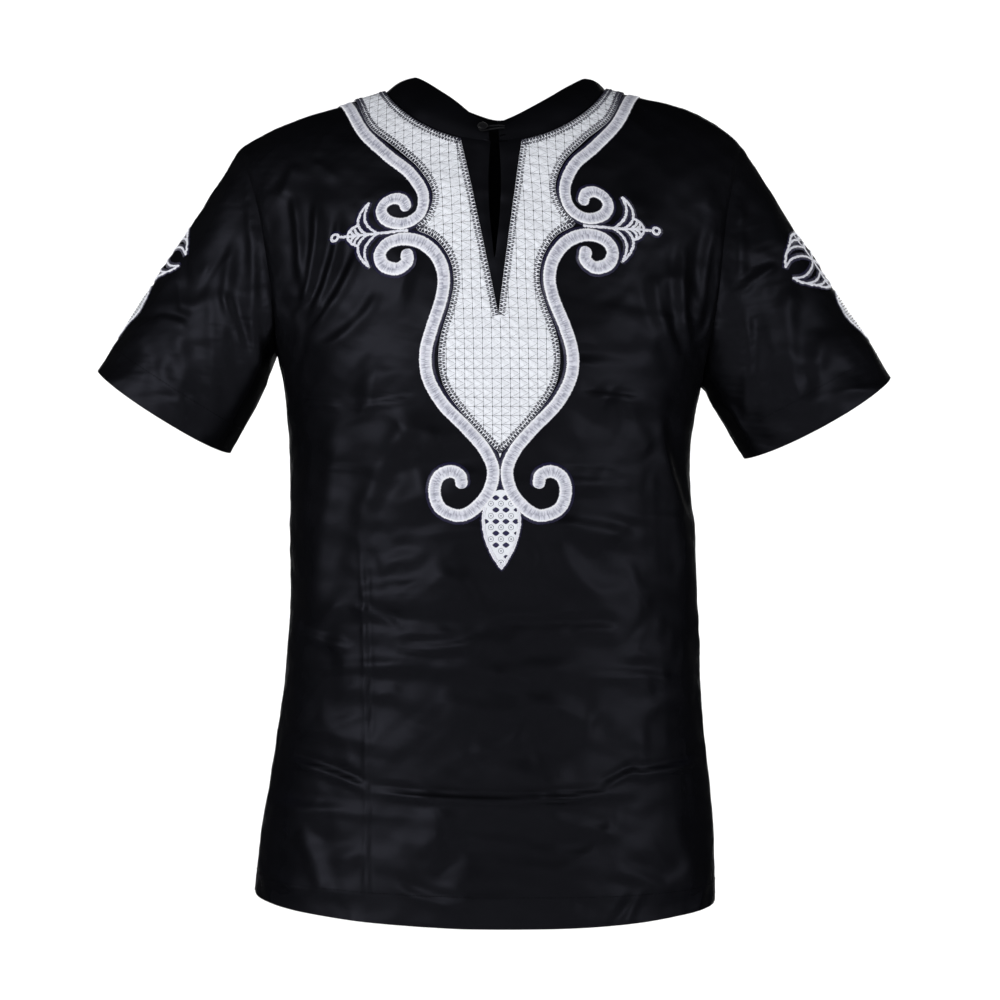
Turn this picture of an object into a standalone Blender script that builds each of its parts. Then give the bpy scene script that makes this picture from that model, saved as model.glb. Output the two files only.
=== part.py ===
"""A short-sleeved dashiki shirt, hollow and filled out as it is when it is worn.

Millimetres in the tables, metres in the meshes. X runs across the shirt, +X to the
wearer's left, the front faces -Y and +Z is up. The origin is the middle of the neck
opening, level with the two points where the collar band passes over the shoulders.

The torso is one smooth form: at each height it is a rounded oval, and towards the
shoulder line it closes like a quarter turn of an ellipse. The front and the back are
cut from that form, the sleeves are lofted from the armholes to the cuffs, and the
stitched ornament lies on the cloth, a little way off it.
"""

import math
from collections import namedtuple

import bmesh
import bpy
import numpy as np
from mathutils import Vector
from mathutils.bvhtree import BVHTree
from mathutils.geometry import delaunay_2d_cdt

MM = 0.001

# ---------------------------------------------------------------- driving sizes
CLOTH = 1.2  # wall of the cloth
HEM_FOLD = 0.8  # what the turned hem adds to it
HEM_DEPTH = 20.0
SEAM_GAP = 0.3
CHEST_HEIGHT = -280.0  # below this the front and back hang plumb from the chest
ARMPIT_HEIGHT = -261.0
ARMPIT_SKEW = -16.0  # the right armpit is this much lower than the middle, the left higher
RIDGE_DEPTH = 6.0  # the shoulder seams lie this far behind the side seams
HEM_DROP = 9.0  # the middle of the hem hangs this much lower than the side seams
HEM_LEFT_RISE, HEM_RIGHT_FALL = 3.0, 5.0  # the hem hangs a little askew

Section = namedtuple("Section", "height centre half_width front back roundness")
TORSO = (
    Section(-728, -14, 205.5, 131, 124, 2.20),
    Section(-673, -11, 202.0, 128, 121, 2.22),
    Section(-619, -9, 194.5, 124, 117, 2.25),
    Section(-566, -8, 188.0, 121, 112, 2.28),
    Section(-512, -6, 183.5, 120, 106, 2.30),
    Section(-458, -6, 181.0, 121, 102, 2.30),
    Section(-404, -7, 179.5, 123, 102, 2.30),
    Section(-351, -9, 178.5, 126, 106, 2.32),
    Section(-315, -9, 179.5, 128, 110, 2.35),
    Section(-288, -7, 184.5, 129, 113, 2.35),
    Section(-261, -6, 189.5, 129, 115, 2.35),
    Section(-215, -4, 208.0, 129, 117, 2.35),
    Section(-165, -5, 221.0, 129, 118, 2.35),
    Section(-130, -6, 227.0, 129, 118, 2.35),
    Section(-100, -7, 235.0, 129, 118, 2.35),
    Section(-62, -9, 250.0, 129, 118, 2.35),
    Section(20, -9, 262.0, 129, 118, 2.35),
)

Armhole = namedtuple("Armhole", "height half_width")
ARMHOLE = (
    Armhole(-290, 180.5),
    Armhole(-261, 185.5),
    Armhole(-215, 192.0),
    Armhole(-165, 199.0),
    Armhole(-130, 204.0),
    Armhole(-100, 211.5),
    Armhole(-62, 224.5),
)

Shoulder = namedtuple("Shoulder", "distance left right")
SHOULDER = (
    Shoulder(0, 12, 12),
    Shoulder(50, 3, 2),
    Shoulder(100, -11, -11),
    Shoulder(135, -23, -20),
    Shoulder(160, -30, -25),
    Shoulder(180, -36, -33),
    Shoulder(197, -43, -43),
    Shoulder(210, -49, -54),
    Shoulder(222, -56, -65),
    Shoulder(236, -64, -78),
)

# The neckline is the seam that the collar band stands on, and the rim is the band's
# free edge. The heights are at the centre front and at the centre back.
Ring = namedtuple("Ring", "centre half_width front back narrowing dip above_shoulder")
NECKLINE = Ring(-4, 97, -70, -46, 1.0, 1.4, 0)
RIM = Ring(0, 78, -52.5, -30, 1.6, 2.0, 5)
RIM_FRONT_DEPTH = 73.0
RIM_BACK_DEPTH = 58.0
RIM_END_CENTRE, RIM_END_HALF = -6.7, 4.8  # where the rim stops either side of the slit
BAND_ROLL = 3.0  # the band rolls outwards this much between its seam and its rim

SLIT_TOP_HALF = 3.6
SLIT_MIDDLE_HALF = 5.2
SLIT_BOTTOM = -172.0
SLIT_CENTRE = -4.5

# A cuff's edge bows outwards by bow, its front leans out by lean, and the seam under the
# arm leaves the armpit downwards and towards the body as strongly as sag says.
Cuff = namedtuple("Cuff", "side outer_x outer_z inner_x inner_z depth half_depth lean bow sag")
CUFFS = (
    Cuff("left", -362, -260, -240, -337.5, 14, 56, 4, 1, 40),
    Cuff("right", 352, -266, 219, -341, 14, 56, 4, 4, 6),
)

# Counts of mesh strips.
BODY_ROWS = 19
YOKE_ROWS = 12
HALF_COLUMNS = 13
BACK_ROWS = 15
BACK_COLUMNS = 11
SLEEVE_ROWS = 12
BAND_ROWS = 3
NECK_SHARE = 0.47  # of the columns, how many end on the neckline
SLIT_COLUMNS = 4

SLEEVE_OUT, SLEEVE_DOWN = 150.0, 222.0  # how the sleeve points at its cuff
SLEEVE_SWELL = 16.0  # how far its cap swells forwards and backwards
CAP_SHARE, CAP_SLOPE = 0.4, -1.5  # how much the cap leaves the armhole along this steep slope
ARMPIT_BLEND = 9.0  # the side seam turns into the armhole over about this height
NO_MITRE = 0.1  # a seam that bends the other way keeps its own normals
SEAM_DRAW = 0.5  # how much the sleeve turns to its own direction at the cuff


# ---------------------------------------------------------------- tables and curves
def read(rows, column, at):
    """The smooth value of one column of a table, between its rows."""
    knots = np.array([row[0] for row in rows], float)
    values = np.array([getattr(row, column) for row in rows], float)
    slopes = np.gradient(values, knots)
    at = np.asarray(at, float)
    i = np.clip(np.searchsorted(knots, at) - 1, 0, len(knots) - 2)
    step = knots[i + 1] - knots[i]
    f = np.clip((at - knots[i]) / step, 0, 1)
    return (
        (1 + 2 * f) * (1 - f) ** 2 * values[i]
        + f * (1 - f) ** 2 * step * slopes[i]
        + f * f * (3 - 2 * f) * values[i + 1]
        - f * f * (1 - f) * step * slopes[i + 1]
    )


def smooth_step(f):
    f = np.clip(f, 0, 1)
    return f * f * (3 - 2 * f)


def unit(vectors):
    return vectors / np.maximum(np.linalg.norm(vectors, axis=-1, keepdims=True), 1e-12)


# ---------------------------------------------------------------- the torso form
def shoulder_line(x):
    """Height of the shoulder line at x. It runs on, unseen, across the neck."""
    offset = x - RIM.centre
    left = read(SHOULDER, "left", np.abs(offset))
    right = read(SHOULDER, "right", np.abs(offset))
    turn = smooth_step(offset / 40 + 0.5)
    return left * (1 - turn) + right * turn


def torso_depth(x, z, face):
    """Y of the cloth at (x, z): face is -1 for the front and 1 for the back."""
    z = np.asarray(z, float)
    ridge = shoulder_line(x)
    fall = np.clip((ridge - z) / (ridge - CHEST_HEIGHT), 0, 1)
    over = np.sqrt(1 - (1 - fall) ** 2)
    ratio = np.abs(x - read(TORSO, "centre", z)) / read(TORSO, "half_width", z)
    power = read(TORSO, "roundness", z)
    across = (1 - np.minimum(ratio, 1) ** power) ** (1 / power)
    reach = read(TORSO, "front" if face < 0 else "back", z)
    return RIDGE_DEPTH * (1 - over) + face * reach * over * across


def armpit_height(side):
    return ARMPIT_HEIGHT + side * ARMPIT_SKEW


def armhole_x(side, z):
    """X of the armhole seam at height z. Below the armpit it is the side seam."""
    narrow = read(ARMHOLE, "half_width", z)
    seam = read(TORSO, "half_width", z)
    height = np.maximum(z - armpit_height(side), 0)
    return read(TORSO, "centre", z) + side * (seam + (narrow - seam) * (1 - np.exp(-height / ARMPIT_BLEND)))


def ring_point(ring, side, angle, face):
    """(x, z) at an angle of 0 over the shoulder to 90 degrees at the centre."""
    x = ring.centre + side * ring.half_width * np.cos(angle) ** ring.narrowing
    top = shoulder_line(ring.centre + side * ring.half_width) + ring.above_shoulder
    end = ring.front if face < 0 else ring.back
    return x, top + (end - top) * np.sin(angle) ** ring.dip


def slit_half_width(z):
    """Half the width of the slit: widest in its middle and closed at its bottom."""
    top = NECKLINE.front
    f = np.clip((z - SLIT_BOTTOM) / (top - SLIT_BOTTOM), 0, 1)
    return (SLIT_TOP_HALF * f + 4 * f * (1 - f) * (SLIT_MIDDLE_HALF - SLIT_TOP_HALF / 2)) * (f > 0)


def column_ratios(count):
    """How far across the panel each column stands at the chest, 0 to 1."""
    angle = np.linspace(0, math.pi / 2, count + 1)
    norm = (np.sin(angle) ** 2.3 + np.cos(angle) ** 2.3) ** (1 / 2.3)
    return np.sin(angle) / norm


def neck_angles(count):
    """Angles round the neck, from the middle to the shoulder, closer near the shoulder."""
    return math.pi / 2 * np.linspace(1, 0, count) ** 1.3


def top_edge(side, count, face):
    """(x, z) where each column ends: along the neckline, then along the shoulder."""
    on_neck = round(count * NECK_SHARE)
    angle = neck_angles(on_neck + 1)
    x_neck, z_neck = ring_point(NECKLINE, side, angle, face)
    if face < 0:
        slit_edge = SLIT_CENTRE + side * SLIT_TOP_HALF
        x_neck = x_neck + (slit_edge - NECKLINE.centre) * smooth_step(np.sin(angle) * 4 - 3)
    tip_z = armhole_top(side)
    tip_x = armhole_x(side, tip_z)
    x_shoulder = np.linspace(x_neck[-1], tip_x, count - on_neck + 1)[1:]
    x = np.concatenate([x_neck, x_shoulder])
    z = np.concatenate([z_neck, shoulder_line(x_shoulder)])
    return x, z


def armhole_top(side):
    """Height where the armhole seam meets the shoulder line."""
    z = -60.0
    for _ in range(20):
        z = float(shoulder_line(armhole_x(side, z)))
    return z


def half_panel(side, face, rows, yoke_rows, count):
    """Points of half a panel, from the hem up and from the centre out."""
    ratios = column_ratios(count)
    low = []
    for f in np.linspace(0, 1, rows + 1)[:-1]:
        hem = TORSO[0].height + (HEM_LEFT_RISE if side < 0 else -HEM_RIGHT_FALL)
        seam = hem + f * (armpit_height(side * 1.0) - hem)
        middle = TORSO[0].height + f * (ARMPIT_HEIGHT - TORSO[0].height)
        z = middle + (seam - middle) * ratios - HEM_DROP * (1 - f) ** 3 * (1 - ratios**2)
        x = read(TORSO, "centre", z) + side * read(TORSO, "half_width", z) * ratios
        low.append(np.stack([x, torso_depth(x, z, face), z], axis=-1))
    top_x, top_z = top_edge(side, count, face)
    ridge = shoulder_line(top_x)
    start_z = ARMPIT_HEIGHT + (armpit_height(side) - ARMPIT_HEIGHT) * ratios
    reach = np.clip(1 - (ridge - top_z) / (ridge - start_z), 0, 1)
    last_turn = np.arcsin(reach)
    edge_x = armhole_x(side, top_z)
    centre_top = read(TORSO, "centre", top_z)
    top_ratio = (top_x - centre_top) / (edge_x - centre_top)
    high = []
    for f in np.linspace(0, 1, yoke_rows + 1) ** 1.35:
        z = ridge - (ridge - start_z) * (1 - np.sin(last_turn * f))
        centre = read(TORSO, "centre", z)
        w = smooth_step(f)
        x = centre + (armhole_x(side, z) - centre) * ((1 - w) * ratios + w * top_ratio)
        high.append(np.stack([x, torso_depth(x, z, face), z], axis=-1))
    return np.array(low + high)


# ---------------------------------------------------------------- folds
Fold = namedtuple("Fold", "x0 z0 x1 z1 width depth")
FRONT_FOLDS = (
    Fold(-190, -640, -60, -655, 11, -3.0),
    Fold(-60, -655, 150, -652, 12, -3.5),
    Fold(150, -652, 190, -625, 11, -2.5),
    Fold(-180, -500, -95, -512, 14, -3.0),
    Fold(-60, -520, 60, -492, 15, 3.0),
    Fold(30, -465, 110, -500, 14, -2.8),
    Fold(-176, -240, -120, -110, 12, -4.0),
    Fold(-170, -225, -150, -120, 11, 4.0),
    Fold(170, -270, 176, -120, 12, -4.0),
    Fold(-170, -300, -60, -318, 12, -2.2),
    Fold(60, -310, 170, -305, 12, -2.2),
    Fold(-168, -330, -150, -520, 14, 3.5),
    Fold(170, -340, 160, -560, 14, 3.5),
    Fold(-60, -700, 20, -712, 14, 2.5),
)
BACK_FOLDS = (
    Fold(-150, -655, 140, -648, 13, -3.0),
    Fold(-60, -440, 90, -470, 15, -3.5),
    Fold(-100, -500, 40, -520, 15, -3.0),
    Fold(-165, -240, -110, -150, 13, -4.0),
    Fold(165, -270, 115, -160, 13, -4.0),
    Fold(-20, -180, -30, -330, 22, 3.0),
)


def fold_height(folds, x, z):
    """How far the folds lift the cloth at (x, z), fading at both of their ends."""
    lift = np.zeros_like(x)
    for fold in folds:
        run = np.array([fold.x1 - fold.x0, fold.z1 - fold.z0], float)
        length = np.hypot(*run)
        run /= length
        along = (x - fold.x0) * run[0] + (z - fold.z0) * run[1]
        off = -(x - fold.x0) * run[1] + (z - fold.z0) * run[0]
        fade = smooth_step(along / (0.35 * length)) * smooth_step((length - along) / (0.35 * length))
        lift += fold.depth * fade * np.exp(-((off / fold.width) ** 2))
    return lift


# ---------------------------------------------------------------- mesh helpers
def quads_of(index):
    """The four-cornered faces of a grid of point numbers."""
    return np.stack([index[:-1, :-1], index[:-1, 1:], index[1:, 1:], index[1:, :-1]], axis=-1).reshape(-1, 4)


def triangles_of(points, faces):
    """Quads cut in two along their shorter diagonal, and triangles as they are."""
    faces = np.asarray(faces)
    if faces.shape[1] == 3:
        return faces
    a, b, c, d = (points[faces[:, i]] for i in range(4))
    other = np.linalg.norm(c - a, axis=1) > np.linalg.norm(d - b, axis=1)
    turned = np.where(other[:, None], np.roll(faces, -1, axis=1), faces)
    return np.stack([turned[:, [0, 1, 2]], turned[:, [0, 2, 3]]], axis=1).reshape(-1, 3)


def vertex_normals(points, quads):
    a, b, c = (points[quads[:, i]] for i in range(3))
    face = np.cross(c - a, (points[quads[:, 3]] if quads.shape[1] == 4 else c) - b)
    normals = np.zeros_like(points)
    for i in range(quads.shape[1]):
        np.add.at(normals, quads[:, i], face)
    return unit(normals)


def wall(name, points, normals, faces, thickness, material):
    """A closed wall: the points are its outer face, and its inner face lies inwards."""
    thickness = np.broadcast_to(np.asarray(thickness, float), len(points))
    inner = points - normals * thickness[:, None]
    count = len(points)
    outer_faces = [tuple(int(v) for v in face) for face in triangles_of(points, faces)]
    directed = {(a, b) for face in outer_faces for a, b in zip(face, face[1:] + face[:1])}
    inner_faces = [tuple(v + count for v in reversed(face)) for face in outer_faces]
    rim = [(b, a, a + count) for a, b in directed if (b, a) not in directed]
    rim += [(b, a + count, b + count) for a, b in directed if (b, a) not in directed]
    return solid(name, np.concatenate([points, inner]), outer_faces + inner_faces + sorted(rim), material)


def solid(name, points, faces, material):
    mesh = bpy.data.meshes.new(name)
    mesh.from_pydata((np.asarray(points) * MM).tolist(), [], faces)
    shape = bmesh.new()
    shape.from_mesh(mesh)
    bmesh.ops.remove_doubles(shape, verts=shape.verts, dist=1e-6)
    bmesh.ops.recalc_face_normals(shape, faces=shape.faces)
    shape.to_mesh(mesh)
    shape.free()
    mesh.shade_smooth()
    mesh.set_sharp_from_angle(angle=math.radians(45))
    mesh.materials.append(material)
    thing = bpy.data.objects.new(name, mesh)
    bpy.context.scene.collection.objects.link(thing)
    return thing


def finish(name, colour, roughness):
    material = bpy.data.materials.new(name)
    material.use_nodes = True
    shader = material.node_tree.nodes["Principled BSDF"]
    shader.inputs["Base Color"].default_value = (*colour, 1)
    shader.inputs["Roughness"].default_value = roughness
    shader.inputs["Metallic"].default_value = 0
    return material


def clear_scene():
    for thing in list(bpy.data.objects):
        bpy.data.objects.remove(thing, do_unlink=True)


# ---------------------------------------------------------------- body panels
Panel = namedtuple("Panel", "points normals quads left right low_rows neck_columns")


def panel(face, rows, yoke_rows, count, folds, slit):
    """The front or back: its grid of points, one half after the other."""
    halves, indices, start = [], [], 0
    for side in (-1, 1):
        grid = half_panel(side, face, rows, yoke_rows, count)
        if slit:
            open_slit(grid, side, face)
        halves.append(grid)
        indices.append(np.arange(start, start + grid[:, :, 0].size).reshape(grid.shape[:2]))
        start += grid[:, :, 0].size
    points = np.concatenate([half.reshape(-1, 3) for half in halves])
    left, right = indices
    for row in np.flatnonzero(np.linalg.norm(points[left[:, 0]] - points[right[:, 0]], axis=1) < 0.4):
        points[left[row, 0]] = (points[left[row, 0]] + points[right[row, 0]]) / 2
        right[row, 0] = left[row, 0]
    quads = np.concatenate([quads_of(left)[:, ::face], quads_of(right)[:, ::-face]])
    normals = vertex_normals(points, quads)
    calm = np.ones(len(points))
    for index in (left, right):
        from_top = smooth_step((len(index) - 1 - np.arange(len(index))) / 2)
        from_side = smooth_step((index.shape[1] - 1 - np.arange(index.shape[1])) / 2)
        calm[index] = from_top[:, None] * from_side
    points += normals * (fold_height(folds, points[:, 0], points[:, 2]) * calm)[:, None]
    neck_columns = round(count * NECK_SHARE)
    for index in (left, right):
        points[index[: rows + 1, -1], 1] += face * SEAM_GAP / 2
        points[index[-1, neck_columns:], 1] += face * SEAM_GAP / 2
    normals = vertex_normals(points, quads)
    for index in (left, right):
        for seam in (index[: rows + 1, -1], index[-1, neck_columns:]):
            normals[seam, 1] = 0
            normals[seam] = unit(normals[seam])
    return Panel(points, normals, quads, left, right, rows, neck_columns)


def open_slit(grid, side, face):
    """Spreads the columns nearest the middle so that the neck slit opens."""
    height = grid[:, 0, 2]
    centre = read(TORSO, "centre", height)
    middle = centre + (SLIT_CENTRE - centre) * smooth_step((height + 300) / 100)
    move = middle + side * slit_half_width(height) - grid[:, 0, 0]
    for k in range(SLIT_COLUMNS):
        grid[:, k, 0] += (1 - k / SLIT_COLUMNS) ** 2 * move
    grid[:, :, 1] = torso_depth(grid[:, :, 0], grid[:, :, 2], face)


def hem_thickness(points):
    """Thickness of the body's wall at each point: more over the turned hem."""
    return CLOTH + HEM_FOLD * (points[:, 2] < TORSO[0].height + HEM_DEPTH)


# ---------------------------------------------------------------- sleeves
def armhole_points(side, front, back):
    """The armhole seam as point numbers: up the front's edge, and up the back's."""
    f_index = (front.left if side < 0 else front.right)[front.low_rows:, -1]
    b_index = (back.left if side < 0 else back.right)[back.low_rows:, -1]
    return f_index, b_index


def sleeve(cuff, front, back):
    """(points, quads) of one sleeve, ring by ring from the armhole to the cuff."""
    side = -1 if cuff.side == "left" else 1
    f_index, b_index = armhole_points(side, front, back)
    f_edge, b_edge = front.points[f_index], back.points[b_index]
    armpit = (f_edge[0] + b_edge[0]) / 2
    tip = (f_edge[-1] + b_edge[-1]) / 2
    loop = np.vstack([armpit, f_edge[1:-1], tip, b_edge[-2:0:-1]])
    half = len(f_edge) - 1
    around = np.vstack([loop, loop[:1]])
    steps = np.linalg.norm(np.diff(around, axis=0), axis=1)
    rise, fall = np.cumsum(steps[:half]), np.cumsum(steps[half:])
    turn = math.pi * np.concatenate([[0], rise / rise[-1], 1 + fall[:-1] / fall[-1]])[:, None]
    outer = np.array([cuff.outer_x, cuff.depth, cuff.outer_z])
    inner = np.array([cuff.inner_x, cuff.depth, cuff.inner_z])
    axis = unit(np.array([side * SLEEVE_OUT, 0, -SLEEVE_DOWN]))
    forward = np.array([0, -cuff.half_depth, 0]) + axis * cuff.lean
    end = (outer + inner) / 2 - np.cos(turn) * (outer - inner) / 2 + np.sin(turn) * forward
    end += np.sin(turn) ** 2 * axis * cuff.bow
    straight = end - loop
    length = np.linalg.norm(straight, axis=1, keepdims=True)
    begin = (1 - CAP_SHARE) * straight / length + CAP_SHARE * np.array([side, 0, CAP_SLOPE])
    begin = unit(begin) * length
    begin += np.sin(turn) * np.array([0, -SLEEVE_SWELL, 0])
    begin += (0.5 + 0.5 * np.cos(turn)) ** 2 * cuff.sag * unit(np.array([-side, 0, -1.0]))
    arrive = unit((1 - SEAM_DRAW) * straight / length + SEAM_DRAW * axis) * length
    rings = []
    for f in np.linspace(0, 1, SLEEVE_ROWS + 1):
        start_part = (1 + 2 * f) * (1 - f) ** 2 * loop + f * (1 - f) ** 2 * begin
        end_part = f * f * (3 - 2 * f) * end - f * f * (1 - f) * arrive
        rings.append(start_part + end_part)
    rings[0] = rings[0] + unit(rings[1] - rings[0]) * SEAM_GAP
    points = np.concatenate(rings)
    index = np.arange(len(points)).reshape(len(rings), -1)
    closed = np.concatenate([index, index[:, :1]], axis=1)
    quads = quads_of(closed)[:, ::-side]
    normals = vertex_normals(points, quads)
    step = unit(rings[1] - rings[0])
    join_normals(side, front, back, normals, index[0], step)
    return points, normals, quads


def join_normals(side, front, back, normals, ring, step):
    """Mitres the armhole seam: where it bends over the body, both walls share a normal."""
    f_index, b_index = armhole_points(side, front, back)
    pairs = [(front, f, ring[k]) for k, f in enumerate(f_index)]
    pairs += [(back, b, ring[-k]) for k, b in enumerate(b_index)]
    shared = {}
    for body, at, mate in pairs:
        if step[mate] @ body.normals[at] < NO_MITRE:
            shared.setdefault(mate, []).append((body, at))
    for mate, ends in shared.items():
        mean = sum(body.normals[at] for body, at in ends) / len(ends) + normals[mate]
        if len(ends) > 1:
            mean[1] = 0
        normals[mate] = unit(mean)
        for body, at in ends:
            body.normals[at] = normals[mate]


# ---------------------------------------------------------------- collar band
def neck_edge(panel_made, side):
    """The panel's neckline as point numbers, from the middle to the shoulder."""
    index = panel_made.left if side < 0 else panel_made.right
    return index[-1, : panel_made.neck_columns + 1]


def rim_points(side, face, count):
    """The band's free edge, from the middle to the shoulder."""
    angle = neck_angles(count)
    x, z = ring_point(RIM, side, angle, face)
    across = np.clip((x - RIM.centre) / RIM.half_width, -1, 1)
    depth = RIM_FRONT_DEPTH if face < 0 else RIM_BACK_DEPTH
    y = RIDGE_DEPTH * across**2 + face * depth * np.sqrt(1 - across**2)
    if face < 0:
        end = RIM_END_CENTRE + side * RIM_END_HALF - RIM.centre
        x = x + end * smooth_step(np.sin(angle) * 4 - 3)
    return np.stack([x, y, z], axis=-1)


def collar_band(front, back):
    """(points, normals, quads) of the band, from the slit's left edge round the neck."""
    seams, rims, owners = [], [], []
    for made, side, face, outwards in ((front, -1, -1, 1), (back, -1, 1, -1), (back, 1, 1, 1), (front, 1, -1, -1)):
        edge = neck_edge(made, side)[::outwards]
        rim = rim_points(side, face, len(edge))[::outwards]
        skip = 1 if seams else 0
        seams += list(made.points[edge])[skip:]
        rims += list(rim)[skip:]
        owners += [(made, at) for at in edge][skip:]
    seams, rims = np.array(seams), np.array(rims)
    shoulders = [front.neck_columns, len(seams) - 1 - front.neck_columns]
    seams[shoulders, 1] = RIDGE_DEPTH
    rise = unit(rims - seams)
    seams = seams + rise * SEAM_GAP
    around = unit(np.gradient(seams, axis=0))
    out = unit(np.cross(rise, around))
    rows = []
    for f in np.linspace(0, 1, BAND_ROWS + 1):
        rows.append(seams + (rims - seams) * f + out * BAND_ROLL * math.sin(math.pi * f))
    points = np.concatenate(rows)
    index = np.arange(len(points)).reshape(len(rows), -1)
    quads = quads_of(index)[:, ::-1]
    normals = vertex_normals(points, quads)
    step = unit(rows[1] - rows[0])
    for k, (made, at) in enumerate(owners):
        if step[k] @ made.normals[at] < NO_MITRE:
            mean = normals[index[0, k]] + made.normals[at]
            mean[1] *= k not in shoulders
            normals[index[0, k]] = made.normals[at] = unit(mean)
    return points, normals, quads


# ---------------------------------------------------------------- ornament
# The ornament is drawn on the cloth laid flat: x across the shirt, and the distance
# down the cloth from the shoulder seam. It leans a little to the right at the top.
ORNAMENT_LIFT = 0.4  # the plates' corners stand this far off the cloth
ORNAMENT_CLEARANCE = 0.3  # and no part of them comes nearer to it than this
ORNAMENT_THICKNESS = 0.9
UPPER_BAND_HALF = 4.7
LOWER_BAND_HALF = 5.2
LINE_HALF = 1.05  # half the width of a rib or a stem
EDGE_WIDTH = 2.5  # the yoke's stitched border, outside its line
EDGE_TAPER = 80.0  # the border narrows over this distance towards the yoke's point
BEND_STEP = 0.42  # a band turns about this much from one point to the next
RIB_BEND_STEP = 0.7  # and a thin rib this much
OVER_SHOULDER = 1.8  # how far below the shoulder seam the ornament starts

Lean = namedtuple("Lean", "distance centre raise_right")
LEAN = (
    Lean(0, -9.5, 0),
    Lean(75, -8.0, 2.4),
    Lean(125, -6.5, 2.6),
    Lean(150, -4.5, 2.2),
    Lean(180, -3.4, 1.4),
    Lean(215, -2.8, 0),
    Lean(250, -1.2, 0),
    Lean(290, -0.5, 0),
    Lean(340, 0, 0),
    Lean(480, 0, 0),
)

Stitch = namedtuple("Stitch", "across down")
UPPER_SCROLL = (
    Stitch(130.5, 1.8),
    Stitch(123.5, 30),
    Stitch(109.5, 70),
    Stitch(89, 100),
    Stitch(69, 123),
    Stitch(60, 144),
    Stitch(64, 159),
    Stitch(78, 165),
    Stitch(92, 159.5),
    Stitch(96.5, 150.5),
    Stitch(93, 144),
    Stitch(84.5, 141.5),
    Stitch(77.5, 145),
    Stitch(75.5, 150),
)
LOWER_SCROLL = (
    Stitch(75.5, 192.5),
    Stitch(75, 198),
    Stitch(83, 203.5),
    Stitch(95, 199),
    Stitch(98.5, 189),
    Stitch(93, 181),
    Stitch(79, 178.2),
    Stitch(61, 185),
    Stitch(48.5, 199.5),
    Stitch(44.5, 214),
    Stitch(46.5, 229),
    Stitch(56, 253.5),
    Stitch(61.5, 272),
    Stitch(60.5, 290),
    Stitch(48.5, 313),
    Stitch(27.5, 335),
    Stitch(12.5, 353),
    Stitch(5.7, 371),
    Stitch(12, 391.5),
    Stitch(32, 407.5),
    Stitch(50, 401.5),
    Stitch(55.2, 387),
    Stitch(51.5, 375),
    Stitch(42, 370.5),
    Stitch(34, 374),
    Stitch(32.5, 380),
)
YOKE_SHOULDER_TO_NOTCH = (
    Stitch(118.5, 1.8),
    Stitch(113.5, 30),
    Stitch(102, 66),
    Stitch(79, 95),
    Stitch(58.5, 121),
    Stitch(50, 144),
    Stitch(55.5, 161),
    Stitch(66, 170.6),
)
YOKE_NOTCH_TO_POINT = (
    Stitch(66, 170.6),
    Stitch(49.5, 181),
    Stitch(37.5, 199),
    Stitch(34, 218),
    Stitch(38.5, 237),
    Stitch(46.5, 259.5),
    Stitch(49, 280),
    Stitch(44.5, 300),
    Stitch(31, 321),
    Stitch(13, 342.5),
    Stitch(0, 356),
)
V_TOP_HALF, V_POINT = 26.0, 245.0  # the plain margin round the slit

# A palmette is drawn along its spine and out to one side, and mirrored.
Rib = namedtuple("Rib", "along out")
PALMETTE_RIBS = (
    (Rib(0, 0), Rib(6.5, 5), Rib(10.5, 11), Rib(11.3, 17), Rib(10, 22.3), Rib(8, 27.5)),
    (Rib(9.5, 0), Rib(14.5, 4.5), Rib(17, 9.5), Rib(16.3, 16.3), Rib(12.8, 22.6), Rib(8, 27.5)),
    (Rib(17, 9.5), Rib(22.5, 6.5), Rib(25.5, 3), Rib(26.5, 0)),
    (Rib(15, 0), Rib(19.3, 4), Rib(20.3, 8)),
    (Rib(19.5, 0), Rib(22, 2.2), Rib(23.5, 5.5)),
)
PALMETTE_LENGTH = 26.5
PALMETTE_BASE = Stitch(100, 169.8)
PALMETTE_RING = Stitch(137, 166)
PALMETTE_STEM = Stitch(74, 171.5)  # it starts here, between the two volutes
PALMETTE_SLANT = 0.11  # its upper ribs lean outwards and its lower ribs inwards
RING_RADIUS, RING_HOLE = 3.9, 2.0

LEAF_TOP, LEAF_TIP, LEAF_WIDEST = 386.0, 453.0, 412.0
LEAF_HALF = 16.4
LEAF_CENTRE = 1.2
LEAF_GAP = 0.6

# The sleeves' palmettes are wider, with fewer ribs inside a rim.
SLEEVE_RIBS = (
    (Rib(28.5, 0), Rib(27.3, 9.5), Rib(22.3, 18.5), Rib(16.5, 28.5), Rib(10.5, 35.5), Rib(6, 39)),
    (Rib(0, 0), Rib(4.4, 6), Rib(8.2, 17), Rib(9.3, 28), Rib(6, 39)),
    (Rib(13, 0), Rib(16.8, 9.5), Rib(18, 19), Rib(16.5, 28.5)),
    (Rib(21.8, 0), Rib(23.3, 8), Rib(22.3, 18.5)),
)
SLEEVE_FAN_WAIST = 105.0  # from the shoulder point down the sleeve
SLEEVE_FAN_LENGTH = 28.5
SLEEVE_FAN_TURN = {"left": 6.0, "right": -17.0}  # round the sleeve, towards the back
SLEEVE_LEAF_TURN = -3.0
SLEEVE_LEAF_TOP, SLEEVE_LEAF_TIP, SLEEVE_LEAF_HALF = 139.0, 195.0, 17.0


def fall_table():
    """Distances down the cloth, and how far down towards the chest each one reaches."""
    turn = np.linspace(0, math.pi / 2, 361)
    middle = (turn[1:] + turn[:-1]) / 2
    stretch = np.hypot(OVER_REACH * np.cos(middle), OVER_DROP * np.sin(middle))
    return np.concatenate([[0], np.cumsum(stretch * np.diff(turn))]), 1 - np.cos(turn)


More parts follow.
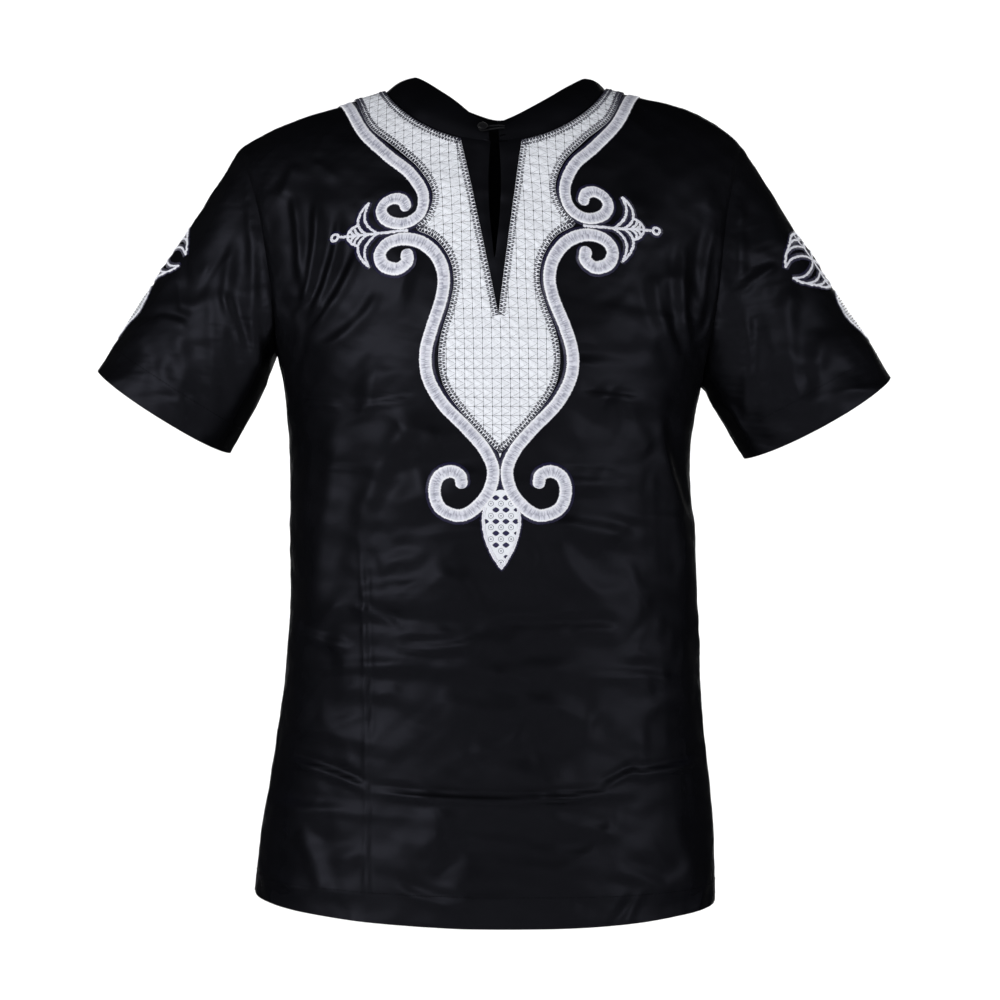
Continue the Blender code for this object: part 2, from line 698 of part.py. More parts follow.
OVER_REACH, OVER_DROP = 100.0, 260.0  # from the shoulder seam forwards and down to the chest
FALL_DISTANCE, FALL_SHARE = fall_table()


def height_at(x, distance):
    """Z of the cloth at a distance down from the shoulder seam."""
    ridge = shoulder_line(x)
    on_yoke = ridge - (ridge - CHEST_HEIGHT) * np.interp(distance, FALL_DISTANCE, FALL_SHARE)
    return on_yoke - np.maximum(distance - FALL_DISTANCE[-1], 0)


def distance_at(x, z):
    ridge = shoulder_line(x)
    share = np.clip((ridge - z) / (ridge - CHEST_HEIGHT), 0, 1)
    return np.interp(share, FALL_SHARE, FALL_DISTANCE) + np.maximum(CHEST_HEIGHT - z, 0)


def on_front(side, stitches):
    """Flat (x, distance) of a half drawing on the left or right of the front."""
    across, down = np.array(stitches, float).T
    x = read(LEAN, "centre", down) + side * across
    return np.stack([x, down - side * read(LEAN, "raise_right", down)], axis=-1)


def smooth_curve(points, step, bend_step=BEND_STEP):
    """A smooth line through the points, with a new point about every step or bend."""
    points = np.asarray(points, float)
    padded = np.vstack([2 * points[0] - points[1], points, 2 * points[-1] - points[-2]])
    line = [points[:1]]
    for a, b, c, d in zip(padded, padded[1:], padded[2:], padded[3:]):
        knots = np.cumsum([0] + [np.linalg.norm(q - p) ** 0.5 for p, q in ((a, b), (b, c), (c, d))])
        bend = math.acos(float(np.clip(unit(c - a) @ unit(d - b), -1, 1)))
        count = max(1, round(np.linalg.norm(c - b) / step), round(bend / bend_step))
        at = np.linspace(knots[1], knots[2], count + 1)[1:, None]
        ab, bc, cd = (
            (k1 - at) / (k1 - k0) * p + (at - k0) / (k1 - k0) * q
            for p, q, k0, k1 in ((a, b, *knots[:2]), (b, c, *knots[1:3]), (c, d, *knots[2:]))
        )
        first = (knots[2] - at) / (knots[2] - knots[0]) * ab + (at - knots[0]) / (knots[2] - knots[0]) * bc
        last = (knots[3] - at) / (knots[3] - knots[1]) * bc + (at - knots[1]) / (knots[3] - knots[1]) * cd
        line.append((knots[2] - at) / (knots[2] - knots[1]) * first + (at - knots[1]) / (knots[2] - knots[1]) * last)
    return np.concatenate(line)


def sideways(line):
    """Unit vectors across a flat line, to its left."""
    along = unit(np.gradient(line, axis=0))
    return np.stack([-along[:, 1], along[:, 0]], axis=-1)


def ribbon(line, half, round_start=False, round_end=False):
    """The outline of a stroke along a line."""
    out = sideways(line) * half
    left, right = line + out, line - out
    caps = []
    for wanted, at, tangent in ((round_end, -1, line[-1] - line[-2]), (round_start, 0, line[0] - line[1])):
        angles = np.radians([45, 90, 135]) if wanted else []
        start = out[at] if at else -out[at]
        caps.append([line[at] + start * math.cos(a) + unit(tangent) * half * math.sin(a) for a in angles])
    end_cap, start_cap = (np.array(cap).reshape(-1, 2) for cap in caps)
    return np.vstack([left, end_cap, right[::-1], start_cap])


def wound_left(outline):
    """The outline turned so that it runs anticlockwise."""
    x, y = outline.T
    area = np.sum(x * np.roll(y, -1) - y * np.roll(x, -1))
    return outline if area > 0 else outline[::-1]


def fill(keep, cut, spacing):
    """(points, triangles) of the flat area inside any of keep and outside all of cut."""
    outlines = [wound_left(np.asarray(outline, float)) for outline in keep + cut]
    points = [tuple(p) for outline in outlines for p in outline]
    counts = np.cumsum([0] + [len(outline) for outline in outlines])
    faces = [list(range(a, b)) for a, b in zip(counts, counts[1:])]
    if spacing:
        every = np.concatenate(outlines[: len(keep)])
        low, high = every.min(axis=0), every.max(axis=0)
        for k, y in enumerate(np.arange(low[1] + spacing / 2, high[1], spacing)):
            for x in np.arange(low[0] + spacing * (0.5 if k % 2 else 0.25), high[0], spacing):
                if np.min(np.hypot(every[:, 0] - x, every[:, 1] - y)) > 0.55 * spacing:
                    points.append((x, y))
    flat = [Vector(p) for p in points]
    made, _, triangles, _, _, origin = delaunay_2d_cdt(flat, [], faces, 0, 1e-3, True)
    chosen = []
    for triangle, inside in zip(triangles, origin):
        if any(i < len(keep) for i in inside) and not any(i >= len(keep) for i in inside):
            chosen.append(triangle)
    used = sorted({v for triangle in chosen for v in triangle})
    place = {v: k for k, v in enumerate(used)}
    xy = np.array([tuple(made[v]) for v in used])
    return xy, np.array([[place[v] for v in triangle] for triangle in chosen])


def plate(name, flat, triangles, place, tree, material):
    """A thin plate lying on the cloth: place turns flat points into points on it."""
    found = [tree.find_nearest(Vector(point)) for point in place(flat)]
    base = np.array([tuple(nearest) for nearest, _, _, _ in found])
    cloth_normals = np.array([tuple(normal) for _, normal, _, _ in found])
    if np.sum(vertex_normals(base, triangles) * cloth_normals) < 0:
        triangles = triangles[:, ::-1]
    normals = unit(vertex_normals(base, triangles) + cloth_normals)
    lift = np.full(len(base), ORNAMENT_LIFT)
    for _ in range(4):
        lift = raised_clear(base, normals, lift, triangles, tree)
    top = base + normals * (lift + ORNAMENT_THICKNESS)[:, None]
    return wall(name, top, normals, triangles, ORNAMENT_THICKNESS, material)


def raised_clear(base, normals, lift, triangles, tree):
    """Lifts a plate's corners where its underside comes too near to the cloth."""
    under = base + normals * lift[:, None]
    raised = lift.copy()
    for triangle in triangles:
        corners = under[triangle]
        for share in UNDERSIDE_SAMPLES:
            spot = share @ corners
            nearest, normal, _, _ = tree.find_nearest(Vector(spot))
            short = ORNAMENT_CLEARANCE - (Vector(spot) - nearest).dot(normal)
            if short > 0:
                raised[triangle] = np.maximum(raised[triangle], lift[triangle] + short)
    return raised


# Places on a triangle, as shares of its corners: along its sides and in its middle.
UNDERSIDE_SAMPLES = np.array(
    [np.roll([f, 1 - f, 0], k) for k in range(3) for f in (0.25, 0.5, 0.75)] + [[1 / 3] * 3]
)


def cloth_tree(points, quads):
    return BVHTree.FromPolygons(points.tolist(), triangles_of(points, quads).tolist())


def place_on_front(flat):
    x, distance = flat.T
    z = height_at(x, distance)
    return np.stack([x, torso_depth(x, z, -1), z], axis=-1)


def neckline_run(side):
    """The yoke's edge along the neckline seam, from the shoulder to the slit's margin."""
    angle = np.linspace(0, math.pi / 2, 25)
    x, z = ring_point(NECKLINE, side, angle, -1)
    flat = np.stack([x, distance_at(x, z)], axis=-1)
    flat = flat - side * sideways(flat) * EDGE_WIDTH * 0.8
    margin = read(LEAN, "centre", 98.0) + side * V_TOP_HALF
    keep = (side * (flat[:, 0] - margin) > 0) & (flat[:, 1] > OVER_SHOULDER)
    flat = flat[keep]
    start = [flat[0][0] + side * 0.4, OVER_SHOULDER]
    corner = [margin, flat[-1][1] + 0.5]
    return np.vstack([start, flat[1::2], corner])


def yoke_outline():
    """The lattice field: round the slit's margin, out to the scrolls and to its point."""
    halves = []
    for side in (-1, 1):
        neck = neckline_run(side)
        upper = smooth_curve(on_front(side, YOKE_SHOULDER_TO_NOTCH), 9)
        lower = smooth_curve(on_front(side, YOKE_NOTCH_TO_POINT), 9)
        upper = upper - side * sideways(upper) * EDGE_WIDTH
        taper = smooth_step((YOKE_NOTCH_TO_POINT[-1].down - lower[:, 1]) / EDGE_TAPER)
        lower = lower - side * sideways(lower) * EDGE_WIDTH * taper[:, None]
        notch = (upper[-1] + lower[0]) / 2
        upper[0, 1] = OVER_SHOULDER
        run = np.linspace(neck[-1], [read(LEAN, "centre", V_POINT), V_POINT], 12)[1:-1]
        halves.append(np.vstack([run[::-1], neck[::-1], upper[:-1], [notch], lower[1:-1]]))
    left, right = halves
    point = np.array([[0.0, YOKE_NOTCH_TO_POINT[-1].down + EDGE_WIDTH * 1.6]])
    v_point = np.array([[read(LEAN, "centre", V_POINT), V_POINT]])
    return np.vstack([v_point, left, point, right[::-1]])


def palmette_strokes(ribs, base, tip_way, out_way, step):
    """Outlines of the ribs either side of a spine that starts at base."""
    strokes = []
    for mirror in (-1, 1):
        for rib in ribs:
            line = [base + tip_way * r.along + out_way * mirror * r.out for r in rib]
            line = smooth_curve(line, step, RIB_BEND_STEP)
            strokes.append(ribbon(line, LINE_HALF, False, len(rib) > 4))
    return strokes


def scroll_outlines(side):
    upper = smooth_curve(on_front(side, UPPER_SCROLL), 6.5)
    lower = smooth_curve(on_front(side, LOWER_SCROLL), 6.5)
    return (
        ribbon(upper, UPPER_BAND_HALF, False, True),
        ribbon(lower, LOWER_BAND_HALF, True, True),
    )


def circle(centre, radius, count):
    turn = np.linspace(0, 2 * math.pi, count, endpoint=False)
    return centre + radius * np.stack([np.cos(turn), np.sin(turn)], axis=-1)


def leaf_outline(top, widest, tip, half, count):
    """A leaf along +distance: round above its widest place and pointed at its tip."""
    upper = np.linspace(0, math.pi / 2, count)
    down_up = top + (widest - top) * (1 - np.cos(upper))
    wide_up = half * np.sin(upper)
    lower = np.linspace(0, 1, count + 2)[1:]
    down_low = widest + (tip - widest) * lower
    wide_low = half * (1 - lower**1.9)
    down = np.concatenate([down_up, down_low])
    wide = np.concatenate([wide_up, wide_low])
    right = np.stack([wide, down], axis=-1)
    return np.vstack([right, (right * [-1, 1])[-2:0:-1]])


def chest_ornament(front, thread):
    tree = cloth_tree(front.points, front.quads)
    scrolls = []
    for side, name in ((-1, "left"), (1, "right")):
        outlines = scroll_outlines(side)
        scrolls += outlines
        for outline, part in zip(outlines, ("upper", "lower")):
            flat, triangles = fill([outline], [], 0)
            plate(f"scroll_{part}_{name}", flat, triangles, place_on_front, tree, thread)
        stem, base, ring = on_front(side, [PALMETTE_STEM, PALMETTE_BASE, PALMETTE_RING])
        tip_way = unit(ring - base)
        out_way = np.array([-tip_way[1], tip_way[0]]) - side * PALMETTE_SLANT * tip_way
        ring_inside = ring - tip_way * (RING_RADIUS + RING_HOLE) / 2
        spine = np.linspace(stem, base, 5)
        spine = np.vstack([spine, np.linspace(base, ring_inside, 8)[1:]])
        strokes = [ribbon(spine, LINE_HALF), circle(ring, RING_RADIUS, 12)]
        strokes += palmette_strokes(PALMETTE_RIBS, base, tip_way, out_way, 6)
        flat, triangles = fill(strokes, [circle(ring, RING_HOLE, 8)], 0)
        plate("palmette_" + name, flat, triangles, place_on_front, tree, thread)
    flat, triangles = fill([yoke_outline()], [], 13)
    plate("yoke", flat, triangles, place_on_front, tree, thread)
    grown = []
    for side in (-1, 1):
        lower = smooth_curve(on_front(side, LOWER_SCROLL), 6.5)
        grown.append(ribbon(lower, LOWER_BAND_HALF + LEAF_GAP, True, True))
    leaf = leaf_outline(LEAF_TOP, LEAF_WIDEST, LEAF_TIP, LEAF_HALF, 6) + [LEAF_CENTRE, 0]
    flat, triangles = fill([leaf], grown, 9)
    plate("leaf_drop", flat, triangles, place_on_front, tree, thread)


def sleeve_ornament(cuff, points, quads, rings, half, thread):
    """A double palmette and a leaf down the outside of a sleeve."""
    name = cuff.side
    grid = points.reshape(rings, -1, 3)
    ridge = grid[:, half]
    down = np.concatenate([[0], np.cumsum(np.linalg.norm(np.diff(ridge, axis=0), axis=1))])

    def place(flat):
        spots = []
        for across, along in flat:
            f = float(np.interp(along, down, np.arange(rings)))
            low = min(int(f), rings - 2)
            ring = grid[low] + (grid[low + 1] - grid[low]) * (f - low)
            way = 1 if across > 0 else -1
            run = np.array([ring[(half + way * k) % len(ring)] for k in range(half)])
            steps = np.concatenate([[0], np.cumsum(np.linalg.norm(np.diff(run, axis=0), axis=1))])
            spots.append([np.interp(abs(across), steps, run[:, axis]) for axis in range(3)])
        return np.array(spots)

    tree = cloth_tree(points, quads)
    waist = np.array([SLEEVE_FAN_TURN[name], SLEEVE_FAN_WAIST])
    out_way = np.array([1.0, 0])
    reach = [0, SLEEVE_FAN_LENGTH]
    strokes = [ribbon(np.linspace(waist - reach, waist + reach, 9), LINE_HALF)]
    for way in (-1, 1):
        strokes += palmette_strokes(SLEEVE_RIBS, waist, np.array([0, float(way)]), out_way, 9)
    flat, triangles = fill(strokes, [], 0)
    plate("sleeve_fan_" + name, flat, triangles, place, tree, thread)
    widest = SLEEVE_LEAF_TOP + 0.4 * (SLEEVE_LEAF_TIP - SLEEVE_LEAF_TOP)
    leaf = leaf_outline(SLEEVE_LEAF_TOP, widest, SLEEVE_LEAF_TIP, SLEEVE_LEAF_HALF, 5) + [SLEEVE_LEAF_TURN, 0]
    flat, triangles = fill([leaf], [], 9)
    plate("sleeve_leaf_" + name, flat, triangles, place, tree, thread)


# ---------------------------------------------------------------- fastening
BUTTON_RADIUS, BUTTON_HEIGHT = 4.6, 3.6
SHANK_RADIUS, SHANK_HEIGHT = 1.5, 2.4
BUTTON_ON_BAND = 0.42  # of the way from the band's seam to its rim
BUTTON_FROM_EDGE = 5.5
LOOP_RADIUS = 0.8
LOOP_REACH = 11.0  # how far it is caught on the band at the other side
BUTTON_SEAT = 0.4


def band_frame(points, columns, end, inset):
    """A point on the band near its left (0) or right (-1) end, and its directions."""
    grid = points.reshape(BAND_ROWS + 1, columns, 3)
    step = 1 if end == 0 else -1
    at = BUTTON_ON_BAND * BAND_ROWS
    low = int(at)
    ring = grid[low] + (grid[low + 1] - grid[low]) * (at - low)
    along = unit(ring[end + step] - ring[end])
    rise = unit(grid[low + 1, end] - grid[low, end])
    out = unit(np.cross(along, rise)) * (1 if end == 0 else -1)
    out = out if out[1] < 0 else -out
    return ring[end] + along * inset, along, rise, out


def button(place, out, rise, material):
    """A domed button on its shank, turned about the direction that leaves the band."""
    profile = [
        (SHANK_RADIUS, BUTTON_SEAT),
        (SHANK_RADIUS, SHANK_HEIGHT),
        (BUTTON_RADIUS * 0.86, SHANK_HEIGHT),
        (BUTTON_RADIUS, SHANK_HEIGHT + BUTTON_HEIGHT * 0.3),
        (BUTTON_RADIUS * 0.8, SHANK_HEIGHT + BUTTON_HEIGHT * 0.75),
    ]
    sides = 14
    across = unit(np.cross(out, rise))
    up = np.cross(across, out)
    points = [place + out * BUTTON_SEAT, place + out * (SHANK_HEIGHT + BUTTON_HEIGHT)]
    for radius, height in profile:
        for k in range(sides):
            turn = 2 * math.pi * k / sides
            points.append(place + out * height + radius * (across * math.cos(turn) + up * math.sin(turn)))
    faces = []
    for k in range(sides):
        after = (k + 1) % sides
        faces.append((0, 2 + after, 2 + k))
        last = 2 + (len(profile) - 1) * sides
        faces.append((1, last + k, last + after))
        for ring in range(len(profile) - 1):
            a, b = 2 + ring * sides, 2 + (ring + 1) * sides
            faces.append((a + k, a + after, b + after, b + k))
    return solid("button", points, faces, material)


def button_loop(place, out, anchor, anchor_out, material):
    """A cord loop round the button's shank, caught on the other end of the band."""
    height = SHANK_HEIGHT / 2 + SEAM_GAP / 2
    across = unit(anchor - place)
    up = unit(np.cross(out, across))
    round_shank = SHANK_RADIUS + LOOP_RADIUS + SEAM_GAP
    centre = place + out * height
    end_lift = LOOP_RADIUS + SEAM_GAP
    route = [anchor + anchor_out * end_lift - up * 1.3, anchor + anchor_out * (end_lift + 0.6) - across * 4 - up * 1.5]
    for degrees in (-70, -110, -150, -180, -210, -250, -290):
        turn = math.radians(degrees)
        route.append(centre + round_shank * (across * math.cos(turn) + up * math.sin(turn)))
    route += [anchor + anchor_out * (end_lift + 0.6) - across * 4 + up * 1.5, anchor + anchor_out * end_lift + up * 1.3]
    curve = bpy.data.curves.new("button_loop", "CURVE")
    curve.dimensions = "3D"
    curve.bevel_depth = LOOP_RADIUS * MM
    curve.bevel_resolution = 1
    curve.use_fill_caps = True
    spline = curve.splines.new("POLY")
    spline.points.add(len(route) - 1)
    for point, spot in zip(spline.points, route):
        point.co = (*(spot * MM), 1)
    curve.materials.append(material)
    thing = bpy.data.objects.new("button_loop", curve)
    bpy.context.scene.collection.objects.link(thing)


def main():
    clear_scene()
    cloth = finish("black_cotton", (0.012, 0.012, 0.014), 0.45)
    thread = finish("white_thread", (0.75, 0.75, 0.8), 0.35)
    front = panel(-1, BODY_ROWS, YOKE_ROWS, HALF_COLUMNS, FRONT_FOLDS, True)
    back = panel(1, BACK_ROWS, YOKE_ROWS, BACK_COLUMNS, BACK_FOLDS, False)
    for cuff in CUFFS:
        points, normals, quads = sleeve(cuff, front, back)
        wall("sleeve_" + cuff.side, points, normals, quads, CLOTH, cloth)
        sleeve_ornament(cuff, points, quads, SLEEVE_ROWS + 1, YOKE_ROWS, thread)
    points, normals, quads = collar_band(front, back)
    wall("neck_band", points, normals, quads, CLOTH, cloth)
    columns = len(points) // (BAND_ROWS + 1)
    spot, _, rise, out = band_frame(points, columns, 0, BUTTON_FROM_EDGE)
    anchor, _, _, anchor_out = band_frame(points, columns, -1, LOOP_REACH - BUTTON_FROM_EDGE)
    bead = finish("black_bead", (0.01, 0.01, 0.012), 0.15)
    button(spot, out, rise, bead)
    button_loop(spot, out, anchor, anchor_out, finish("black_cord", (0.015, 0.015, 0.017), 0.5))
    for name, made in (("front", front), ("back", back)):
        wall(name, made.points, made.normals, made.quads, hem_thickness(made.points), cloth)
    chest_ornament(front, thread)


main()
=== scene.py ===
# %% [markdown]
# # A dashiki shirt, dressed
# The construction holds every panel, raised motif and fastening as a plain solid, in
# metres, with +Z up and the chest facing -Y. The solids stay where they are. Here each
# one gets what the real shirt has: thin creased cotton, satin stitches that lie side by
# side, a quilted lattice, and a bead in a cord loop.

# %% Load the construction
import math
from collections import namedtuple

import bmesh
import bpy
import numpy as np
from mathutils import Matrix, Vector
from mathutils.bvhtree import BVHTree
from mathutils.geometry import delaunay_2d_cdt


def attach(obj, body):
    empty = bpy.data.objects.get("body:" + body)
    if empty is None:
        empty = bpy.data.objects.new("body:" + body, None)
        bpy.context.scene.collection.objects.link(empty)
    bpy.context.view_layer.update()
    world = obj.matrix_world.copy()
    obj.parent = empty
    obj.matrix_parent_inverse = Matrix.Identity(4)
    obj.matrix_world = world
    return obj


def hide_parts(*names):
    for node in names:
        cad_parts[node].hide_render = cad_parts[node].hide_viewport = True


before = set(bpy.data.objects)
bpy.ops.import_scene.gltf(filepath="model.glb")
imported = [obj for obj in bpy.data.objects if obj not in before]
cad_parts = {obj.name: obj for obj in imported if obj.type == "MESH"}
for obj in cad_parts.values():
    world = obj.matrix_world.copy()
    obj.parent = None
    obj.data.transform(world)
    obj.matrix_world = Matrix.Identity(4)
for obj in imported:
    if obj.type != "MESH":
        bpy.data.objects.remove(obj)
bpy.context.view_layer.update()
MM = 0.001
bpy.ops.object.select_all(action="DESELECT")

# %% [markdown]
# ## The camera
# A garment is best shown from straight ahead, at the height of its middle. A long lens
# two metres away keeps the sleeves from looking larger than the body. An orthographic
# camera would also do that, but would flatten the roundness of the chest. The lens is
# worked out from how wide a view is wanted at that distance.

# %% Place the camera
VIEW_HEIGHT = -0.3777
VIEW_DISTANCE = 2.0
VIEW_WIDTH = 0.895

bpy.ops.object.camera_add(location=(0, -VIEW_DISTANCE, VIEW_HEIGHT), rotation=(math.radians(90), 0, 0))
camera = bpy.context.object
camera.data.sensor_width = 36
camera.data.lens = camera.data.sensor_width * VIEW_DISTANCE / VIEW_WIDTH
bpy.context.scene.camera = camera
print("lens of", round(camera.data.lens, 1), "mm")

# %% [markdown]
# ## The studio
# Black cotton shows its folds only by what it reflects, so the light has to come from
# large soft panels that the cloth can mirror: one high on the left, one on the right, one
# low in front, and a weaker one behind for the back. Two more light the backdrop. The
# floor is pale and rises behind in a round sweep, so it has no edge that could be seen.
# The sweep could be a filled curve, but to spin the floor's far edge is a single step.
# The floor lies as far down as it does below a wearer's shoulders.

# %% Lay the floor and its sweep
FLOOR_HEIGHT = -1.45
FLOOR_SIZE, FLOOR_MIDDLE = 8.0, -2.0
FLOOR_END = FLOOR_MIDDLE + FLOOR_SIZE / 2
SWEEP_RADIUS = 0.6
SWEEP_STEPS = 12
WALL_RISE = 1.7

bpy.ops.mesh.primitive_plane_add(size=FLOOR_SIZE, location=(0, FLOOR_MIDDLE, FLOOR_HEIGHT))
floor = bpy.context.object
floor.name = "floor"
bpy.ops.object.transform_apply(location=True)
bpy.ops.object.mode_set(mode="EDIT")
bpy.ops.mesh.select_all(action="DESELECT")
bpy.ops.object.mode_set(mode="OBJECT")
for edge in floor.data.edges:
    edge.select = all(floor.data.vertices[v].co.y > FLOOR_END - 0.1 for v in edge.vertices)
bpy.ops.object.mode_set(mode="EDIT")
bpy.ops.mesh.select_mode(type="EDGE")
bpy.ops.mesh.spin(
    steps=SWEEP_STEPS,
    angle=math.radians(-90),
    center=(0, FLOOR_END, FLOOR_HEIGHT + SWEEP_RADIUS),
    axis=(1, 0, 0),
)
bpy.ops.mesh.extrude_region_move(TRANSFORM_OT_translate={"value": (0, 0, WALL_RISE)})
bpy.ops.mesh.select_all(action="SELECT")
bpy.ops.mesh.normals_make_consistent(inside=False)
bpy.ops.object.mode_set(mode="OBJECT")
bpy.ops.object.shade_smooth()
print("floor and sweep:", [round(v, 2) for v in floor.dimensions], "m")

# %% Paint the floor and set the air
STUDIO_WHITE = (0.93, 0.93, 0.93)
WORLD_STRENGTH = 0.16

paint = bpy.data.materials.new("studio_paper")
paint.use_nodes = True
paper = paint.node_tree.nodes["Principled BSDF"]
paper.inputs["Base Color"].default_value = (*STUDIO_WHITE, 1)
paper.inputs["Roughness"].default_value = 0.9
paper.inputs["Specular IOR Level"].default_value = 0.1
floor.data.materials.append(paint)

world = bpy.data.worlds.new("studio_air")
world.use_nodes = True
world.node_tree.nodes["Background"].inputs["Color"].default_value = (1, 1, 1, 1)
world.node_tree.nodes["Background"].inputs["Strength"].default_value = WORLD_STRENGTH
bpy.context.scene.world = world
bpy.context.scene.view_settings.view_transform = "Standard"

# %% Hang the lights
Panel = namedtuple("Panel", "name place aim size power")
LIGHTS = (
    Panel("key_left", (-1.6, -1.9, 0.15), (0, 0, -0.35), 1.2, 37),
    Panel("fill_right", (1.9, -1.7, -0.1), (0, 0, -0.4), 1.0, 20),
    Panel("low_front", (0.2, -2.6, -1.1), (0, 0, -0.5), 1.0, 4),
    Panel("backdrop_left", (-1.8, 0.9, 0.6), (-0.5, 2.6, -0.3), 1.6, 34),
    Panel("backdrop_right", (1.8, 0.9, 0.6), (0.5, 2.6, -0.3), 1.6, 34),
    Panel("fill_behind", (1.0, 2.1, 0.3), (0, 0, -0.4), 1.0, 16),
)
for light in LIGHTS:
    bpy.ops.object.light_add(type="AREA", location=light.place)
    lamp = bpy.context.object
    lamp.name = light.name
    lamp.data.size = light.size
    lamp.data.energy = light.power
    lamp.rotation_euler = (Vector(light.aim) - Vector(light.place)).to_track_quat("-Z", "Y").to_euler()
print(len(LIGHTS), "soft lights")

# %% [markdown]
# ## Reading cloth from the construction
# Each panel of the construction is a closed wall. Its outer face is the true form of
# the cloth, so the fine shell starts there: the wall is cut where it turns a sharp corner
# at its rim, and the part that faces away from the wearer is kept. A shell could also be
# drawn anew, but it would then drift from the solid that it stands for. Subdivision makes
# it fine enough to hold creases, and the wall gets its thickness back at the end.

# %% Take the outer face of a wall
RIM_ANGLE = math.radians(45)
QUAD_ANGLE = math.radians(75)
SAME_PLACE = 0.01 * MM


def add_object(name, data):
    """A new object in the scene."""
    piece = bpy.data.objects.new(name, data)
    bpy.context.scene.collection.objects.link(piece)
    return piece


def smooth_regions(shape):
    """The shape's faces in groups that no sharp edge divides."""
    seen, regions = set(), []
    for start in shape.faces:
        if start in seen:
            continue
        region, queue = [], [start]
        seen.add(start)
        while queue:
            face = queue.pop()
            region.append(face)
            for edge in face.edges:
                if edge.calc_face_angle(math.pi) < RIM_ANGLE:
                    for other in edge.link_faces:
                        if other not in seen:
                            seen.add(other)
                            queue.append(other)
        regions.append(region)
    return regions


def outer_face(node, name, inside):
    """A new object with the face of the node's wall that looks away from inside."""
    shape = bmesh.new()
    shape.from_mesh(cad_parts[node].data)
    bmesh.ops.remove_doubles(shape, verts=shape.verts, dist=SAME_PLACE)
    centre = Vector(inside)

    def outwards(region):
        return sum(f.calc_area() * f.normal.dot(f.calc_center_median() - centre) for f in region)

    kept = set(max(smooth_regions(shape), key=outwards))
    bmesh.ops.delete(shape, geom=[f for f in shape.faces if f not in kept], context="FACES")
    bmesh.ops.join_triangles(
        shape, faces=shape.faces[:], angle_face_threshold=RIM_ANGLE, angle_shape_threshold=QUAD_ANGLE
    )
    mesh = bpy.data.meshes.new(name)
    shape.to_mesh(mesh)
    shape.free()
    return add_object(name, mesh)


# %% Helpers that select and refine a piece
def use(piece):
    """Makes a piece the only selected one, and the active one."""
    bpy.ops.object.select_all(action="DESELECT")
    piece.select_set(True)
    bpy.context.view_layer.objects.active = piece


def refine(piece, levels, style="CATMULL_CLARK"):
    """Divides a piece's faces, and keeps its corners where they are."""
    use(piece)
    finer = piece.modifiers.new("finer", "SUBSURF")
    finer.subdivision_type = style
    finer.levels = finer.render_levels = levels
    finer.boundary_smooth = "PRESERVE_CORNERS"
    bpy.ops.object.modifier_apply(modifier=finer.name)


# %% Helpers that read and move a piece's points
def vectors(rows, name):
    """The named vector of every row, as one array."""
    flat = np.zeros(len(rows) * 3)
    rows.foreach_get(name, flat)
    return flat.reshape(-1, 3)


def points_of(piece):
    """The piece's points, in millimetres."""
    return vectors(piece.data.vertices, "co") / MM


def move_to(piece, points):
    """Moves the piece's points to places given in millimetres."""
    piece.data.vertices.foreach_set("co", (points * MM).ravel())
    piece.data.update()


def smooth_step(f):
    """A rise from 0 to 1 with soft ends."""
    f = np.clip(f, 0, 1)
    return f * f * (3 - 2 * f)


def open_edges(piece):
    """Numbers of the two end points of each edge that only one face has."""
    used = np.zeros(len(piece.data.edges), int)
    loops = np.zeros(len(piece.data.loops), int)
    piece.data.loops.foreach_get("edge_index", loops)
    np.add.at(used, loops, 1)
    return np.array([tuple(edge.vertices) for edge in piece.data.edges])[used == 1]


def border_points(piece, wanted):
    """Numbers of the points on the piece's open edges, at places that wanted allows."""
    at = points_of(piece)
    return np.array([v for v in np.unique(open_edges(piece)) if wanted(at[v])], int)


def nearest_distance(points, marks, batch=4000):
    """How far each point is from the nearest mark, and which mark that is."""
    far = np.full(len(points), np.inf)
    which = np.zeros(len(points), int)
    for start in range(0, len(points), batch):
        some = slice(start, start + batch)
        gap = np.linalg.norm(points[some, None] - marks[None], axis=2)
        which[some] = gap.argmin(axis=1)
        far[some] = gap.min(axis=1)
    return far, which


# %% [markdown]
# ## Creases
# Polished cotton holds two kinds of marks. Soft drags run from the armholes and hang
# between the shoulders, and sharp pressed lines stay from the packet. They could be
# simulated, but a shirt with nobody in it would sag out of its shape. So both kinds are
# placed one by one: where each starts and ends, how much it bows, how wide and deep it is.
# A crease is a ridge with a trough beside it, because cloth that rises has to come from
# somewhere, and it fades out at both ends.

# %% A crease and its cross-section
Crease = namedtuple("Crease", "x0 z0 x1 z1 bow width height")
CREASE_FADE = 0.25
TROUGH_DEPTH, TROUGH_AWAY, TROUGH_WIDTH = 0.6, 1.6, 1.2


def crease_lift(creases, x, z):
    """How far the creases lift the cloth at (x, z)."""
    lift = np.zeros_like(x)
    for crease in creases:
        start, end = np.array([crease.x0, crease.z0]), np.array([crease.x1, crease.z1])
        run = end - start
        length = np.hypot(*run)
        run = run / length
        along = (x - start[0]) * run[0] + (z - start[1]) * run[1]
        share = along / length
        bowed = crease.bow * 4 * share * (1 - share)
        off = (-(x - start[0]) * run[1] + (z - start[1]) * run[0] - bowed) / crease.width
        fade = smooth_step(share / CREASE_FADE) * smooth_step((1 - share) / CREASE_FADE)
        trough = TROUGH_DEPTH * np.exp(-(((off - TROUGH_AWAY) / TROUGH_WIDTH) ** 2))
        lift += crease.height * fade * (np.exp(-(off**2)) - trough)
    return lift


# %% Soft unevenness
WAVES = 9


def unevenness(points, size, seed):
    """Soft bumps about so many millimetres across, between -1 and 1."""
    turns = np.random.default_rng(seed)
    total = np.zeros(len(points))
    for _ in range(WAVES):
        way = turns.normal(size=3)
        way *= 2 * math.pi / size / np.linalg.norm(way) * turns.uniform(0.6, 1.5)
        total += np.sin(points @ way + turns.uniform(0, 2 * math.pi))
    return total * 2 / WAVES


